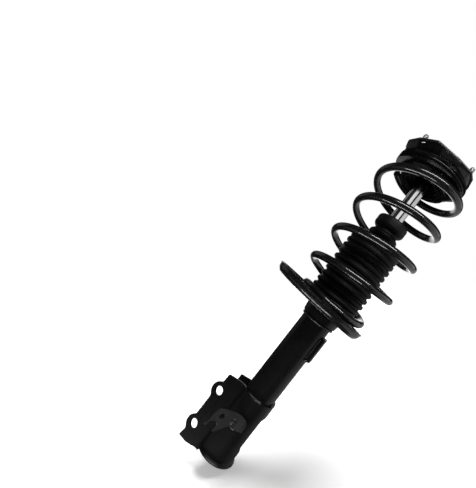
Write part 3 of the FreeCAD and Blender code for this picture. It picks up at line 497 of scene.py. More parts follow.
# Tower studs: pressed head, smooth collar and rolled thread
PLATE_T = 3.0
STUD_CIRCLE_R = 49.5
STUD_AZIMUTHS = (114.0, 234.0, 354.0)
STUD_R = 4.0
STUD_PITCH = 1.25
STUD_LENGTH = 18.0
STUD_HEAD_R = 7.0
STUD_HEAD_T = 2.4
STUD_HEAD_EDGE = 0.55
STUD_COLLAR_R = 4.6


def tower_studs():
    head_r = STUD_HEAD_R - INSIDE
    head_low = -PLATE_T - STUD_HEAD_T + INSIDE
    head_top = -PLATE_T - PRESS
    collar_r = STUD_COLLAR_R - INSIDE
    end = STUD_LENGTH - INSIDE
    body = [(AXIS, head_low), (head_r - STUD_HEAD_EDGE, head_low), (head_r, head_low + STUD_HEAD_EDGE),
            (head_r, head_top), (collar_r, head_top), (collar_r, -0.3), (4.2, 0.1), (3.9, 0.3), (3.45, 1.4),
            (AXIS, 1.4)]
    tip = [(AXIS, end - 1.15), (3.6, end - 1.15), (3.25, end - 0.35), (2.5, end), (AXIS, end)]
    meshes = []
    for azimuth in STUD_AZIMUTHS:
        spot = polar(STUD_CIRCLE_R, azimuth, 0) / MM
        centre = (spot.x, spot.y)
        meshes.append(lathe(body, centre, 48))
        meshes.append(threaded(centre, STUD_R - PRESS, STUD_PITCH, 1.2, end - 0.75))
        meshes.append(lathe(tip, centre, 48))
    return link("tower_studs_form", joined(meshes), "top_mount", zinc, ["tower_studs"])


studs = tower_studs()


# Rubber body of the mount: its wall follows the plate above and a circle below.
# The plate's corners are given as azimuth and radius
PLATE_CORNERS = ((-138.0, 64.4), (-115.6, 64.0), (-86.8, 66.2), (-52.9, 57.4), (-33.2, 58.8), (-24.0, 62.0),
                 (-7.0, 60.3), (8.0, 57.8), (38.0, 55.5), (78.0, 56.0), (94.0, 62.0), (114.0, 64.0),
                 (134.0, 62.0), (150.0, 56.0), (188.0, 55.5), (206.0, 60.0))
PLATE_OVERHANG = 1.6
MOUNT_R = 57.5
MOUNT_UPPER_R = 58.3
MOUNT_BOTTOM = -13.2
MOUNT_RELIEF = 1.2
MOUNT_RELIEF_IN_R = 22.0
MOUNT_RELIEF_OUT_R = 46.0
MOUNT_EDGE_H = 0.8
MOUNT_LEAN_H = 9.0
MOUNT_CORE_R = 24.0
MOUNT_CORE_TOP = 2.0
MOUNT_DISH_Z = 0.8
SLEEVE_R = 13.0


def plate_reach(azimuth):
    """Radius of the plate's outline in one direction."""
    ray = Vector((math.cos(azimuth), math.sin(azimuth), 0))
    spots = [polar(r, a, 0) / MM for a, r in PLATE_CORNERS]
    for i, p in enumerate(spots):
        q = spots[(i + 1) % len(spots)]
        normal = Vector((q.y - p.y, p.x - q.x, 0))
        if p.cross(ray).z >= 0 and ray.cross(q).z >= 0 and ray.dot(p) > 0:
            return normal.dot(p) / normal.dot(ray)
    return MOUNT_R


def mount_rubber():
    wall_low = MOUNT_BOTTOM + MOUNT_EDGE_H
    relief_top = MOUNT_BOTTOM + MOUNT_RELIEF
    profile = [(SLEEVE_R, MOUNT_BOTTOM), (MOUNT_RELIEF_IN_R, MOUNT_BOTTOM),
               (MOUNT_RELIEF_IN_R + 2.0, relief_top), (MOUNT_RELIEF_OUT_R - 2.0, relief_top),
               (MOUNT_RELIEF_OUT_R, MOUNT_BOTTOM),
               (MOUNT_R - 0.6, MOUNT_BOTTOM), (MOUNT_R, wall_low), (MOUNT_R, -PLATE_T - INSIDE),
               (MOUNT_CORE_R, -PLATE_T), (MOUNT_CORE_R - 1.0, MOUNT_CORE_TOP - 0.1), (18.0, MOUNT_CORE_TOP),
               (16.5, MOUNT_DISH_Z), (SLEEVE_R, MOUNT_DISH_Z)]
    radii = [0.2, 0.8, 0.8, 0.8, 0.8, 0.5, 0.5, 0.6, 0.3, 1.2, 0.8, 0.6, 0.3]

    def wall(r, z, a):
        rise = clamp((z - wall_low) / MOUNT_LEAN_H) if r > 50 else 0.0
        return r + rise * (max(plate_reach(a) - PLATE_OVERHANG, MOUNT_UPPER_R) - MOUNT_R), z

    mesh = finish_mesh(lathe(rounded(profile, radii), around=288, warp=wall), 22)
    link("mount_rubber_form", mesh, "top_mount", rubber_mount, ["mount_rubber"])


mount_rubber()


# Folded tabs of the plate under its front lobe, each given as azimuth, width and height
TABS = ((-108.0, 6.5, 3.2), (-118.0, 4.0, 2.6), (-134.5, 4.0, 3.0))
TAB_FOOT_R = 57.4
TAB_TOP = -2.9
TAB_REACH = 3.2


def plate_tabs():
    meshes = []
    for azimuth, wide, high in TABS:
        out = polar(1, azimuth, 0) / MM
        half = polar(1, azimuth + 90, 0) * wide / 2
        inner = polar(TAB_FOOT_R, azimuth, TAB_TOP)
        outer = inner + out * TAB_REACH * MM - Z_AXIS * high * 0.4 * MM
        corners = [inner - half, inner + half, outer + half, outer - half]
        meshes.append(slab(corners, high * 0.75 * MM, -Z_AXIS, 0.4))
    return link("plate_tabs_form", joined(meshes), "top_mount", zinc)


tabs = plate_tabs()


# Upper insulator: a soft bead and a groove over a wedge that is thin on its far side
SEAT_R = 60.0
SEAT_FLANGE_LOW = -20.5
SEAT_CONE_TOP_R = 57.2
SEAT_CONE_LOW = -38.1
SEAT_HUB_R = 40.0
WEDGE_MID = -24.0
WEDGE_LEAN = 8.5 / 60.0
WEDGE_HIGH_AZIMUTH = 88.0
BEAD_R = 5.5
BEAD_CIRCLE_R = 54.5
BEAD_Z = -23.1
BEAD_REACH = 22
BEAD_STEPS = 8
GROOVE_R = 58.4
GROOVE_TOP = -25.9
GROOVE_LOW = -27.7


def insulator_profile():
    profile = [(SEAT_HUB_R, SEAT_CONE_LOW), (SEAT_CONE_TOP_R, SEAT_FLANGE_LOW), (58.9, SEAT_FLANGE_LOW),
               (59.35, SEAT_FLANGE_LOW - 0.3)]
    for i in range(BEAD_STEPS + 1):
        a = math.radians(BEAD_REACH - 2 * BEAD_REACH * i / BEAD_STEPS)
        profile.append((BEAD_CIRCLE_R + BEAD_R * math.cos(a), BEAD_Z + BEAD_R * math.sin(a)))
    profile += [(GROOVE_R + 0.5, GROOVE_TOP + 0.4), (GROOVE_R, GROOVE_TOP), (GROOVE_R, GROOVE_LOW),
                (GROOVE_R + 0.4, GROOVE_LOW - 0.4), (SEAT_R - 0.4, GROOVE_LOW - 0.6),
                (SEAT_R - 0.05, GROOVE_LOW - 1.1), (SEAT_R, GROOVE_LOW - 1.9), (SEAT_R, SEAT_CONE_LOW)]
    return profile


def upper_insulator():
    mesh = lathe(insulator_profile(), around=160)
    bm = bmesh.new()
    bm.from_mesh(mesh)
    point = Vector((0, 0, WEDGE_MID * MM))
    high = math.radians(WEDGE_HIGH_AZIMUTH)
    normal = Vector((-WEDGE_LEAN * math.cos(high), -WEDGE_LEAN * math.sin(high), 1)).normalized()
    geom = list(bm.verts) + list(bm.edges) + list(bm.faces)
    cut = bmesh.ops.bisect_plane(bm, geom=geom, plane_co=point, plane_no=normal, clear_inner=True)
    rim = [e for e in cut["geom_cut"] if isinstance(e, bmesh.types.BMEdge)]
    bmesh.ops.edgeloop_fill(bm, edges=rim)
    caps = [f for f in bm.faces if len(f.verts) > 40]
    bmesh.ops.triangulate(bm, faces=caps)
    bm.to_mesh(mesh)
    bm.free()
    finish_mesh(mesh, 40)
    obj = link("upper_insulator_form", mesh, "spring_seat", rubber_seat, ["upper_insulator"])
    bevel_edges(obj, 0.9, 3, 45)
    return obj


insulator = upper_insulator()


# The lower pan leans down along the lean azimuth
LEAN_AZIMUTH = 28.0
PAN_SLOPE = 0.0984
PAN_SHIFT = 18.5
PAN_RIM_Z = -278.5


def onto_pan(mesh, height):
    """Lay a mesh on the leaning pan, with its origin at that height on the strut's axis."""
    turn = Matrix.Rotation(math.radians(LEAN_AZIMUTH), 4, "Z")
    lean = Matrix.Rotation(math.atan(PAN_SLOPE), 4, "Y")
    mesh.transform(Matrix.Translation((0, 0, height * MM)) @ turn @ lean)
    return mesh


# Lower insulator: a ring with a shallow bed for the last turn of the coil
PAD_TOP = -282.2
PAD_IN_R = 44.9
PAD_OUT_R = 62.4
PAD_T = 8.0
PAD_LIP = 0.5
BED_IN_R = 50.0
BED_R = 55.0
BED_OUT_R = 60.4
BED_DEPTH = 0.4


def lower_insulator():
    profile = [(PAD_IN_R, -PAD_T), (PAD_OUT_R - 0.3, -PAD_T), (PAD_OUT_R, 0.6 - PAD_T), (PAD_OUT_R, 0.2),
               (PAD_OUT_R - 0.8, PAD_LIP), (BED_OUT_R, 0.0), (BED_R, -BED_DEPTH), (BED_IN_R, 0.0),
               (PAD_IN_R + 0.9, PAD_LIP), (PAD_IN_R, 0.2)]
    mesh = onto_pan(lathe(rounded(profile, 0.5, 3), around=160), PAD_TOP)
    link("lower_insulator_form", mesh, "strut_body", rubber_seat, ["lower_insulator"])


lower_insulator()


# Piston rod: ground shaft, shoulder, thread and key socket at its tip
ROD_R = 11.0
ROD_THREAD_R = 7.0
ROD_PITCH = 1.5
ROD_SHOULDER = -14.5
ROD_TIP = 16.5
ROD_KEY_AF = 6.0
ROD_KEY_DEPTH = 4.8
ROD_FOOT_R = 6.0
ROD_FOOT_Z = -241.5
PISTON_H = 25.0
PISTON_NUT_H = 8.5
ROD_END = 1.5


def rod_tip(low, high):
    """Closed rod end with a hexagonal socket."""
    count = 48
    bm = bmesh.new()

    def ring(r, z, hexagon=False):
        out = []
        for i in range(count):
            a = 2 * math.pi * i / count
            size = r
            if hexagon:
                step = math.pi / 3
                size = r * math.cos(step / 2) / math.cos((a % step) - step / 2)
            out.append(bm.verts.new((size * math.cos(a) * MM, size * math.sin(a) * MM, z * MM)))
        return out

    corner = ROD_KEY_AF / math.sqrt(3)
    loops = [ring(ROD_THREAD_R - 1.0, low), ring(ROD_THREAD_R - 0.75, high - 1.2),
             ring(ROD_THREAD_R - 1.3, high - 0.3), ring(ROD_THREAD_R - 1.9, high),
             ring(corner + 0.4, high, True), ring(corner, high - 0.4, True),
             ring(corner, high - ROD_KEY_DEPTH, True)]
    for one, two in zip(loops, loops[1:]):
        for i in range(count):
            j = (i + 1) % count
            bm.faces.new((one[i], one[j], two[j], two[i]))
    bm.faces.new(loops[-1])
    bm.faces.new(list(reversed(loops[0])))
    mesh = bpy.data.meshes.new("tip")
    bm.to_mesh(mesh)
    bm.free()
    return finish_mesh(mesh, 35)


def piston_rod():
    foot = ROD_FOOT_Z - PISTON_H - PISTON_NUT_H - ROD_END
    foot_r = ROD_FOOT_R - PRESS
    shaft_r = ROD_R - PRESS
    thread_r = ROD_THREAD_R - PRESS
    shoulder = ROD_SHOULDER - INSIDE
    # The second ring at each end of the shaft keeps its shading straight
    shaft = [(AXIS, foot), (foot_r - 0.78, foot), (foot_r, foot + 0.8), (foot_r, ROD_FOOT_Z),
             (shaft_r - 0.38, ROD_FOOT_Z), (shaft_r, ROD_FOOT_Z + 0.4), (shaft_r, ROD_FOOT_Z + 1.1),
             (shaft_r, shoulder - 1.35), (shaft_r, shoulder - 0.65), (shaft_r - 0.68, shoulder),
             (ROD_THREAD_R, shoulder), (thread_r, 2.0), (AXIS, 2.0)]
    tip = ROD_TIP - INSIDE
    meshes = [lathe(shaft, around=96), threaded((0, 0), thread_r, ROD_PITCH, 1.0, tip - 0.35, around=60),
              rod_tip(11.0, tip)]
    return link("piston_rod_form", joined(meshes), "top_mount", chrome, ["piston_rod"])


rod = piston_rod()


# Rod seal: a ring on the guide, with a groove in its top beside the rod
SEAL_R = 22.9
SEAL_LOW = -201.4
SEAL_TOP = -195.9
SEAL_GROOVE = -197.6


def rod_seal():
    bore = ROD_R + 0.1
    profile = [(bore, SEAL_LOW), (SEAL_R, SEAL_LOW), (SEAL_R, SEAL_TOP - 0.7), (20.0, SEAL_TOP),
               (15.0, SEAL_TOP), (14.0, SEAL_GROOVE), (bore + 0.8, SEAL_GROOVE), (bore, SEAL_TOP - 0.3)]
    mesh = lathe(rounded(profile, [0.5, 0.6, 0.8, 0.8, 0.8, 0.6, 0.4, 0.3], 3), around=96)
    link("rod_seal_form", mesh, "strut_body", rubber_seal, ["rod_seal"])


# Rebound stop, a barrel-shaped ring on the rod inside the tube
STOP_R = 14.35
STOP_LOW = -231.4
STOP_TOP = -223.6


def rebound_stop():
    bore = ROD_R + INSIDE
    end_r = STOP_R - 0.75
    profile = [(bore, STOP_LOW), (end_r, STOP_LOW), (STOP_R, STOP_LOW + 1.9), (STOP_R, STOP_TOP - 1.9),
               (end_r, STOP_TOP), (bore, STOP_TOP)]
    mesh = lathe(rounded(profile, [0.4, 0.7, 1.2, 1.2, 0.7, 0.4], 3), around=96)
    link("rebound_stop_form", mesh, "top_mount", rubber_seal, ["rebound_stop"])


rod_seal()
rebound_stop()


# Coil spring: turn 0 is the first strand that crosses the front
WIRE_R = 6.0
COIL_AZIMUTH = 208.0
COIL_FIRST = -0.889
COIL_LAST = 4.27
COIL_STEPS = 560
COIL_START_Z = -64.23
COIL_RISE = 55.04
COIL_RISE_GROWTH = 3.2475
COIL_RISE_FADE = 0.793
COIL_R = 66.14
COIL_R_GROWTH = 0.946
COIL_LEAN = 0.0168
COIL_LEAN_GROWTH = 0.026
COIL_TIP = 0.023
TIP_FROM = -0.6
TIP_FULL = -0.3
TIP_FADE = 1.5
TIP_END = 2.5
TOP_TAIL_DROP = 11.5
TOP_TAIL_LIFT = 0.9
TOP_TAIL_FROM = 0.30
TOP_TAIL_SPAN = 0.48
TOP_DRAW_IN = 41.0
TOP_DRAW_FROM = 0.5
TOP_DRAW_POWER = 1.7
LOW_COIL_R = 55.3
LOW_DRAW_FROM = 3.05
LOW_DRAW_SPAN = 0.45
LOW_LAY_FROM = 3.40
LOW_LAY_SPAN = 0.55
LOW_END_FROM = 3.5
LOW_END_SPAN = 0.5
LOW_END_DRAW = 3.0
LOW_DIP_FROM = 3.1
LOW_DIP_SPAN = 0.4
LOW_DIP = 3.5
SEAT_GAP = 0.3


def coil_radius(turn):
    radius = COIL_R + COIL_R_GROWTH * turn
    if turn < -TOP_DRAW_FROM:
        radius -= TOP_DRAW_IN * (-TOP_DRAW_FROM - turn) ** TOP_DRAW_POWER
    radius += (LOW_COIL_R - radius) * smooth((turn - LOW_DRAW_FROM) / LOW_DRAW_SPAN)
    return radius - LOW_END_DRAW * smooth((turn - LOW_END_FROM) / LOW_END_SPAN)


def coil_point(turn):
    radius = coil_radius(turn)
    azimuth = COIL_AZIMUTH - 360 * turn
    along = radius * math.cos(math.radians(azimuth - LEAN_AZIMUTH))
    across = radius * math.cos(math.radians(azimuth - LEAN_AZIMUTH - 90))
    free = COIL_START_Z - (COIL_RISE * turn + COIL_RISE_GROWTH * turn ** 2 - COIL_RISE_FADE * turn ** 3)
    free -= (COIL_LEAN + COIL_LEAN_GROWTH * turn) * along
    tip_in = smooth((turn - TIP_FROM) / (TIP_FULL - TIP_FROM))
    tip_out = smooth((TIP_END - turn) / (TIP_END - TIP_FADE))
    free -= COIL_TIP * tip_in * tip_out * across
    free -= (TOP_TAIL_DROP - TOP_TAIL_LIFT) * smooth((-TOP_TAIL_FROM - turn) / TOP_TAIL_SPAN)
    free -= LOW_DIP * math.sin(math.pi * clamp((turn - LOW_DIP_FROM) / LOW_DIP_SPAN)) ** 2
    laid = PAD_TOP + SEAT_GAP + WIRE_R - PAN_SLOPE * along
    height = free + (laid - free) * smooth((turn - LOW_LAY_FROM) / LOW_LAY_SPAN)
    return polar(radius, azimuth, height)


def coil_spring():
    step = (COIL_LAST - COIL_FIRST) / COIL_STEPS
    points = [coil_point(COIL_FIRST + step * i) for i in range(COIL_STEPS + 1)]
    mesh = sweep(points, WIRE_R * MM, 36, 0.9 * MM)
    coil = link("coil_spring_form", mesh, "strut_body", powder, ["coil_spring"])
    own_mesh(coil)
    # The photographed rod shows clean stripes, with no coil mirrored in it
    coil.visible_glossy = False


coil_spring()


# Dust boot: cuff, ribs given by their half widths at crest and foot, plain shoulder and dome
BOOT_LOW = -282.5
BOOT_BORE_R = 38.5
BOOT_CREST_R = 44.0
BOOT_VALLEY_R = 40.3
BOOT_RIBS = 9
BOOT_FIRST_CREST = -263.5
BOOT_PITCH = 11.1
BOOT_CREST_HALF = 2.2
BOOT_FOOT_HALF = 4.6
BOOT_CUFF_R = 42.5
BOOT_CUFF_TOP = -272.5
BOOT_SHOULDER_R = 43.0
BOOT_SHOULDER_LOW = -167.0
BOOT_SHOULDER_TOP = -159.5
BOOT_DOME_R = 33.0
BOOT_DOME_TOP = -152.5
BOOT_MOUTH_R = 28.0
BOOT_WALL = 1.8


def dust_boot():
    profile = [(BOOT_BORE_R, BOOT_LOW), (BOOT_CUFF_R, BOOT_LOW), (BOOT_CUFF_R, BOOT_CUFF_TOP)]
    for i in range(BOOT_RIBS):
        crest = BOOT_FIRST_CREST + BOOT_PITCH * i
        profile += [(BOOT_VALLEY_R, crest - BOOT_FOOT_HALF), (BOOT_CREST_R, crest - BOOT_CREST_HALF),
                    (BOOT_CREST_R, crest + BOOT_CREST_HALF), (BOOT_VALLEY_R, crest + BOOT_FOOT_HALF)]
    profile += [(BOOT_SHOULDER_R, BOOT_SHOULDER_LOW), (BOOT_SHOULDER_R, BOOT_SHOULDER_TOP), (40.0, -156.0),
                (BOOT_DOME_R, BOOT_DOME_TOP), (BOOT_MOUTH_R, BOOT_DOME_TOP),
                (BOOT_MOUTH_R, BOOT_DOME_TOP - BOOT_WALL), (BOOT_BORE_R - 1.0, -159.0), (BOOT_BORE_R, -161.5)]
    radii = [0.3, 0.6, 1.5] + [0.9, 2.2, 2.2, 0.9] * BOOT_RIBS + [1.5, 3.0, 3.0, 1.4, 0.6, 0.4, 1.5, 1.5]
    mesh = lathe(rounded(profile, radii))
    link("dust_boot_form", mesh, "strut_body", rubber_boot, ["dust_boot"])


dust_boot()


# Bump stop: foot, three necks, two bulges and a round head; each bulge is a crest between two shoulders
BUMP_LOW = -191.5
BUMP_TOP = -111.3
BUMP_BORE_R = 11.6
BUMP_FOOT_R = 21.0
BUMP_FOOT_TOP = -182.5
BUMP_NECK_R = 18.5
BUMP_THIRD_NECK_Z = -177.5
BUMP_SECOND_NECK_Z = -152.0
BUMP_NECK_Z = -133.5
BUMP_BULGE_R = 25.3
BUMP_BULGE_EDGE_R = 24.6
BUMP_THIRD_Z = -161.5
BUMP_SECOND_Z = -142.5
BUMP_HEAD_R = 26.4
BUMP_HEAD_LOW = -125.5
BUMP_EDGE = 4.5


def bulge(middle, below, above):
    low = (BUMP_BULGE_EDGE_R, middle - below)
    high = (BUMP_BULGE_EDGE_R, middle + above)
    return [low, (BUMP_BULGE_R, middle), high]


def bump_stop():
    profile = [(BUMP_BORE_R, BUMP_LOW), (BUMP_FOOT_R, BUMP_LOW), (BUMP_FOOT_R, BUMP_FOOT_TOP),
               (BUMP_NECK_R, BUMP_THIRD_NECK_Z), *bulge(BUMP_THIRD_Z, 5.0, 4.0),
               (BUMP_NECK_R, BUMP_SECOND_NECK_Z), *bulge(BUMP_SECOND_Z, 5.0, 3.5),
               (BUMP_NECK_R, BUMP_NECK_Z), (BUMP_HEAD_R - 1.5, BUMP_HEAD_LOW - 3.0),
               (BUMP_HEAD_R, BUMP_HEAD_LOW), (BUMP_HEAD_R, BUMP_TOP), (BUMP_BORE_R, BUMP_TOP)]
    radii = [0.5, 1.5, 2.0, 3.0, 3.0, 3.0, 3.0, 2.5, 2.5, 3.0, 2.5, 2.5, 3.0, 3.0, BUMP_EDGE, 0.6]
    mesh = lathe(rounded(profile, radii))
    form = link("bump_stop_form", mesh, "strut_body", foam_bump, ["bump_stop"])
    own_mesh(form)


bump_stop()


# Weld beads, painted over, and the pressed bead of the pan
TUBE_R = 25.5


def line_points(place, count):
    """Points of a line, where place turns a share of the way into a point."""
    return [place(i / count) for i in range(count + 1)]


def arc_points(radius, first, last, z, z_end=None, step=1.5):
    z_end = z if z_end is None else z_end
    count = max(4, int(abs(last - first) / step))
    return line_points(lambda f: polar(radius, first + (last - first) * f, z + (z_end - z) * f), count)


# Weld under the collar, all round the tube
COLLAR_WELD_Z = -309.9
COLLAR_WELD_R = 2.4


def collar_weld():
    mesh = bead(arc_points(TUBE_R + 1.0, -180, 182, COLLAR_WELD_Z), COLLAR_WELD_R, 3.2, 0.14)
    link("collar_weld", mesh, "strut_body", weld_paint)


# Pressed bead on the lower corner of the pan, in the pan's own leaning axes
PAN_BEAD_R = 1.7
PAN_BEAD_CIRCLE_R = 78.3
PAN_BEAD_DROP = 11.6
PAN_BEAD_STEPS = 16


def pan_bead():
    ring = []
    for i in range(PAN_BEAD_STEPS):
        a = 2 * math.pi * i / PAN_BEAD_STEPS
        ring.append((PAN_BEAD_CIRCLE_R + PAN_BEAD_R * math.cos(a), PAN_BEAD_R * math.sin(a) - PAN_BEAD_DROP))
    mesh = onto_pan(lathe(ring, (-PAN_SHIFT, 0), around=200), PAN_RIM_Z)
    link("pan_bead", mesh, "strut_body", paint_pan)


# Welds on the upper edge of the knuckle's wrap, each given by its two azimuths
WRAP_WELDS = ((-104, -50), (-6, 48))
WRAP_WELD_Z = -457.8


def wrap_welds():
    meshes = [bead(arc_points(TUBE_R + 1.9, first, last, WRAP_WELD_Z), 1.9) for first, last in WRAP_WELDS]
    link("wrap_welds", joined(meshes), "strut_body", weld_paint)


# Welds along both edges of the side bracket, with a short foot that turns under its lower end
SIDE_AZIMUTH = 11.5
SIDE_HALF_TURN = 28.5
SIDE_WELD_TOP = -328.0
SIDE_WELD_LENGTH = 37.0
SIDE_FOOT_Z = -368.0
SIDE_FOOT_OUT = 3.0
SIDE_FOOT_TURN = 7.5


def side_welds():
    meshes = []
    for sign in (1, -1):
        edge = SIDE_AZIMUTH + sign * SIDE_HALF_TURN
        turn = -sign * SIDE_FOOT_TURN
        foot_r = TUBE_R + 0.9
        down = line_points(lambda f: polar(TUBE_R + 0.6, edge, SIDE_WELD_TOP - SIDE_WELD_LENGTH * f), 40)
        foot = line_points(lambda f: polar(foot_r + SIDE_FOOT_OUT * f, edge + turn * f, SIDE_FOOT_Z), 10)
        meshes.append(bead(down, 1.5))
        meshes.append(bead(foot, 1.7))
    link("side_welds", joined(meshes), "strut_body", weld_paint)


# Welds of the brake hose bracket: a bead from one azimuth and height to another, then a nugget and a lip
# on its flat face, placed by their distance along the face and their height
HOSE_OUT = polar(1, -37.0, 0) / MM
HOSE_ALONG = polar(1, -127.0, 0) / MM
HOSE_FACE = 27.19
HOSE_WELD_R = 31.0
HOSE_WELD_FROM = (-86, -510.4)
HOSE_WELD_TO = (-67, -511.6)
NUGGET_R = 4.9
NUGGET_S = 23.6
NUGGET_Z = -500.3
LIP_R = 5.6
LIP_H = 2.4
LIP_SINK = 0.9
LIP_FLAT = 0.6
LIP_S = 22.6
LIP_Z = -504.0


def on_hose(profile, along, z, sink=0.0, flat=1.0):
    """A small turned form set on the face of the hose bracket, sunk into it and flattened in height."""
    mesh = lathe(profile, around=40)
    mesh.transform(Matrix.Diagonal((1.0, flat, 1.0, 1.0)))
    turn = Matrix((HOSE_ALONG, Z_AXIS, HOSE_OUT)).transposed().to_4x4()
    place = (HOSE_OUT * (HOSE_FACE - sink) + HOSE_ALONG * along + Z_AXIS * z) * MM
    mesh.transform(Matrix.Translation(place) @ turn)
    mesh.flip_normals()
    return finish_mesh(mesh)


def hose_welds():
    first, z = HOSE_WELD_FROM
    last, z_end = HOSE_WELD_TO
    meshes = [bead(arc_points(HOSE_WELD_R, first, last, z, z_end, 1.0), 1.9, 2.4)]
    nugget = [(AXIS, -0.5), (NUGGET_R - 0.3, -0.5), (NUGGET_R, 0.2), (NUGGET_R - 0.5, 0.8), (3.6, 0.9),
              (2.4, 0.3), (AXIS, 0.1)]
    meshes.append(on_hose(nugget, NUGGET_S, NUGGET_Z))
    lip = [(AXIS, -1.0)]
    for i in range(9):
        a = math.radians(90 - 10 * i)
        lip.append((LIP_R * math.sin(a), LIP_H * math.cos(a)))
    lip.append((AXIS, LIP_H))
    meshes.append(on_hose(lip, LIP_S, LIP_Z, LIP_SINK, LIP_FLAT))
    link("hose_bracket_welds", joined(meshes), "strut_body", weld_paint)


collar_weld()
pan_bead()
wrap_welds()
side_welds()
hose_welds()


# Floor: level in the photograph, just under the lowest point of the strut, and clear from below.
# Its sizes are in metres
FLOOR_COLOUR = 0.8
FLOOR_GLOW = 0.38
FLOOR_SPAN = 6.0
FLOOR_GAP = 0.0006
STRUT_FOOT = Vector((0, 0, -0.58))


def floor_paper():
    n = Nodes("floor_paper")
    n.tree.nodes.remove(n.shader)
    diffuse = n.add("ShaderNodeBsdfDiffuse")
    diffuse.inputs["Color"].default_value = (FLOOR_COLOUR, FLOOR_COLOUR, FLOOR_COLOUR, 1)
    glow = n.add("ShaderNodeEmission")
    paths = n.add("ShaderNodeLightPath")
    n.join(n.ramp(paths.outputs["Is Camera Ray"], 0.0, 1.0, 0.0, FLOOR_GLOW), glow.inputs["Strength"])
    both = n.add("ShaderNodeAddShader")
    n.join(diffuse.outputs[0], both.inputs[0])
    n.join(glow.outputs[0], both.inputs[1])
    clear = n.add("ShaderNodeBsdfTransparent")
    geometry = n.add("ShaderNodeNewGeometry")
    pick = n.add("ShaderNodeMixShader")
    n.join(geometry.outputs["Backfacing"], pick.inputs[0])
    n.join(both.outputs[0], pick.inputs[1])
    n.join(clear.outputs[0], pick.inputs[2])
    n.join(pick.outputs[0], n.tree.nodes["Material Output"].inputs["Surface"])
    return n.material


def floor():
    lowest = min((obj.matrix_world @ v.co).dot(up) for obj in nodes.values() for v in obj.data.vertices)
    middle = STRUT_FOOT + up * (lowest - FLOOR_GAP - STRUT_FOOT.dot(up))
    across = right * FLOOR_SPAN
    back = up.cross(right) * FLOOR_SPAN
    corners = [middle - across - back, middle + across - back, middle + across + back, middle - across + back]
    mesh = bpy.data.meshes.new("floor")
    mesh.from_pydata(corners, [], [(0, 1, 2, 3)])
    mesh.update()
    if mesh.polygons[0].normal.dot(up) < 0:
        mesh.flip_normals()
    mesh.materials.append(floor_paper())
    plane = bpy.data.objects.new("floor", mesh)
    scene.collection.objects.link(plane)
    plane.visible_shadow = False
    plane.visible_glossy = False
    return plane


paper = floor()


# Groups of pieces that a lamp lights, or leaves out
def group(name, parts, state="INCLUDE"):
    collection = bpy.data.collections.new(name)
    for part in parts:
        collection.objects.link(part)
    for entry in collection.collection_objects:
        entry.light_linking.link_state = state
    return collection


floor_only = group("floor_only", [paper])
chrome_only = group("chrome_parts", [rod])
zinc_only = group("zinc_parts", [studs, tabs])
not_floor = group("not_floor", [paper], "EXCLUDE")
not_rod = group("painted_parts", [paper, rod], "EXCLUDE")
not_seat = group("wall_parts", [paper, insulator, nodes["upper_spring_seat"]], "EXCLUDE")


# Lamps round the upright strut: azimuth, elevation, width and height in degrees, radiance, pieces they light
LAMPS = {
    "upper_strip": (-58, 47, 56, 6, 28.0, not_rod),
    "lower_strip": (-80, -70, 56, 5.5, 22.0, not_rod),
    "front_box": (-74, 22, 48, 18, 0.22, not_floor),
    "right_box": (20, 22, 76, 24, 0.7, not_floor),
    "right_wall": (30, -14, 56, 44, 0.5, not_seat),
    "far_right": (84, -8, 50, 50, 0.35, not_seat),
    "left_box": (-178, 10, 34, 50, 0.2, not_seat),
    "low_box": (-110, -48, 90, 22, 0.25, not_floor),
    "zinc_box": (-108, 24, 110, 44, 1.0, zinc_only),
    "rod_box": (-74, 24, 44, 44, 0.78, chrome_only),
}
LAMP_CENTRE = Vector((0, 0, -0.29))
LAMP_DISTANCE = 2.0


def lamp(name, azimuth, elevation, wide, high, radiance, receivers):
    a = math.radians(azimuth)
    e = math.radians(elevation)
    direction = Vector((math.cos(e) * math.cos(a), math.cos(e) * math.sin(a), math.sin(e)))
    data = bpy.data.lights.new(name, "AREA")
    data.shape = "RECTANGLE"
    data.size = 2 * LAMP_DISTANCE * math.tan(math.radians(wide / 2))
    data.size_y = 2 * LAMP_DISTANCE * math.tan(math.radians(high / 2))
    data.energy = radiance * math.pi * data.size * data.size_y
    obj = bpy.data.objects.new(name, data)
    scene.collection.objects.link(obj)
    obj.location = LAMP_CENTRE + direction * LAMP_DISTANCE
    obj.rotation_euler = (-direction).to_track_quat("-Z", "Y").to_euler()
    obj.visible_camera = False
    obj.light_linking.receiver_collection = receivers


for name, settings in LAMPS.items():
    lamp(name, *settings)


# Sky: a broad sun for the floor alone, between the strut's axis and the photograph's upright, a little behind
SKY_ENERGY = 4.2
SKY_ANGLE = 36
SKY_LEAN = 0.57
SKY_BEHIND = 0.12


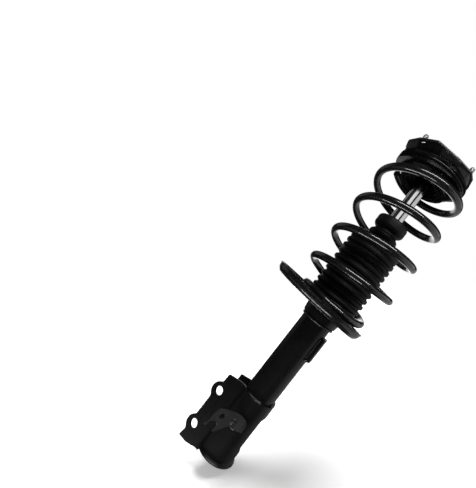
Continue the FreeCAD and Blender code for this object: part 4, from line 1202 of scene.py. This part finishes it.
def floor_sky():
    data = bpy.data.lights.new("floor_sky", "SUN")
    data.energy = SKY_ENERGY
    data.angle = math.radians(SKY_ANGLE)
    obj = bpy.data.objects.new("floor_sky", data)
    scene.collection.objects.link(obj)
    direction = (Z_AXIS.slerp(up, SKY_LEAN) + forward * SKY_BEHIND).normalized()
    obj.rotation_euler = direction.to_track_quat("Z", "Y").to_euler()
    obj.light_linking.receiver_collection = floor_only


floor_sky()


# World: white for the camera, white only behind the strut in reflections, and dim as diffuse light
AMBIENT = 0.2
DARK_SIDE = 0.02
BACKDROP_RISE = 0.14
BACKDROP_OUTER = 0.905
BACKDROP_INNER = 0.955


def studio():
    world = bpy.data.worlds.new("studio")
    scene.world = world
    world.use_nodes = True
    tree = world.node_tree

    def choose(fac, a, b):
        node = tree.nodes.new("ShaderNodeMix")
        node.data_type = "FLOAT"
        tree.links.new(fac, node.inputs["Factor"])
        for socket, value in (("A", a), ("B", b)):
            slot = [s for s in node.inputs if s.name == socket and s.type == "VALUE"][0]
            if isinstance(value, float):
                slot.default_value = value
            else:
                tree.links.new(value, slot)
        return [s for s in node.outputs if s.type == "VALUE"][0]

    paths = tree.nodes.new("ShaderNodeLightPath")
    seen = tree.nodes.new("ShaderNodeMath")
    seen.operation = "MAXIMUM"
    tree.links.new(paths.outputs["Is Camera Ray"], seen.inputs[0])
    tree.links.new(paths.outputs["Is Transmission Ray"], seen.inputs[1])
    ray = tree.nodes.new("ShaderNodeTexCoord")
    behind = tree.nodes.new("ShaderNodeVectorMath")
    behind.operation = "DOT_PRODUCT"
    tree.links.new(ray.outputs["Generated"], behind.inputs[0])
    behind.inputs[1].default_value = (forward + Z_AXIS * BACKDROP_RISE).normalized()
    backdrop = tree.nodes.new("ShaderNodeMapRange")
    backdrop.interpolation_type = "SMOOTHSTEP"
    backdrop.inputs["From Min"].default_value = BACKDROP_OUTER
    backdrop.inputs["From Max"].default_value = BACKDROP_INNER
    backdrop.inputs["To Min"].default_value = DARK_SIDE
    backdrop.inputs["To Max"].default_value = 1.0
    tree.links.new(behind.outputs["Value"], backdrop.inputs["Value"])
    level = choose(paths.outputs["Is Glossy Ray"], AMBIENT, backdrop.outputs["Result"])
    level = choose(seen.outputs[0], level, 1.0)
    back = tree.nodes["Background"]
    back.inputs["Color"].default_value = (1, 1, 1, 1)
    tree.links.new(level, back.inputs["Strength"])


studio()
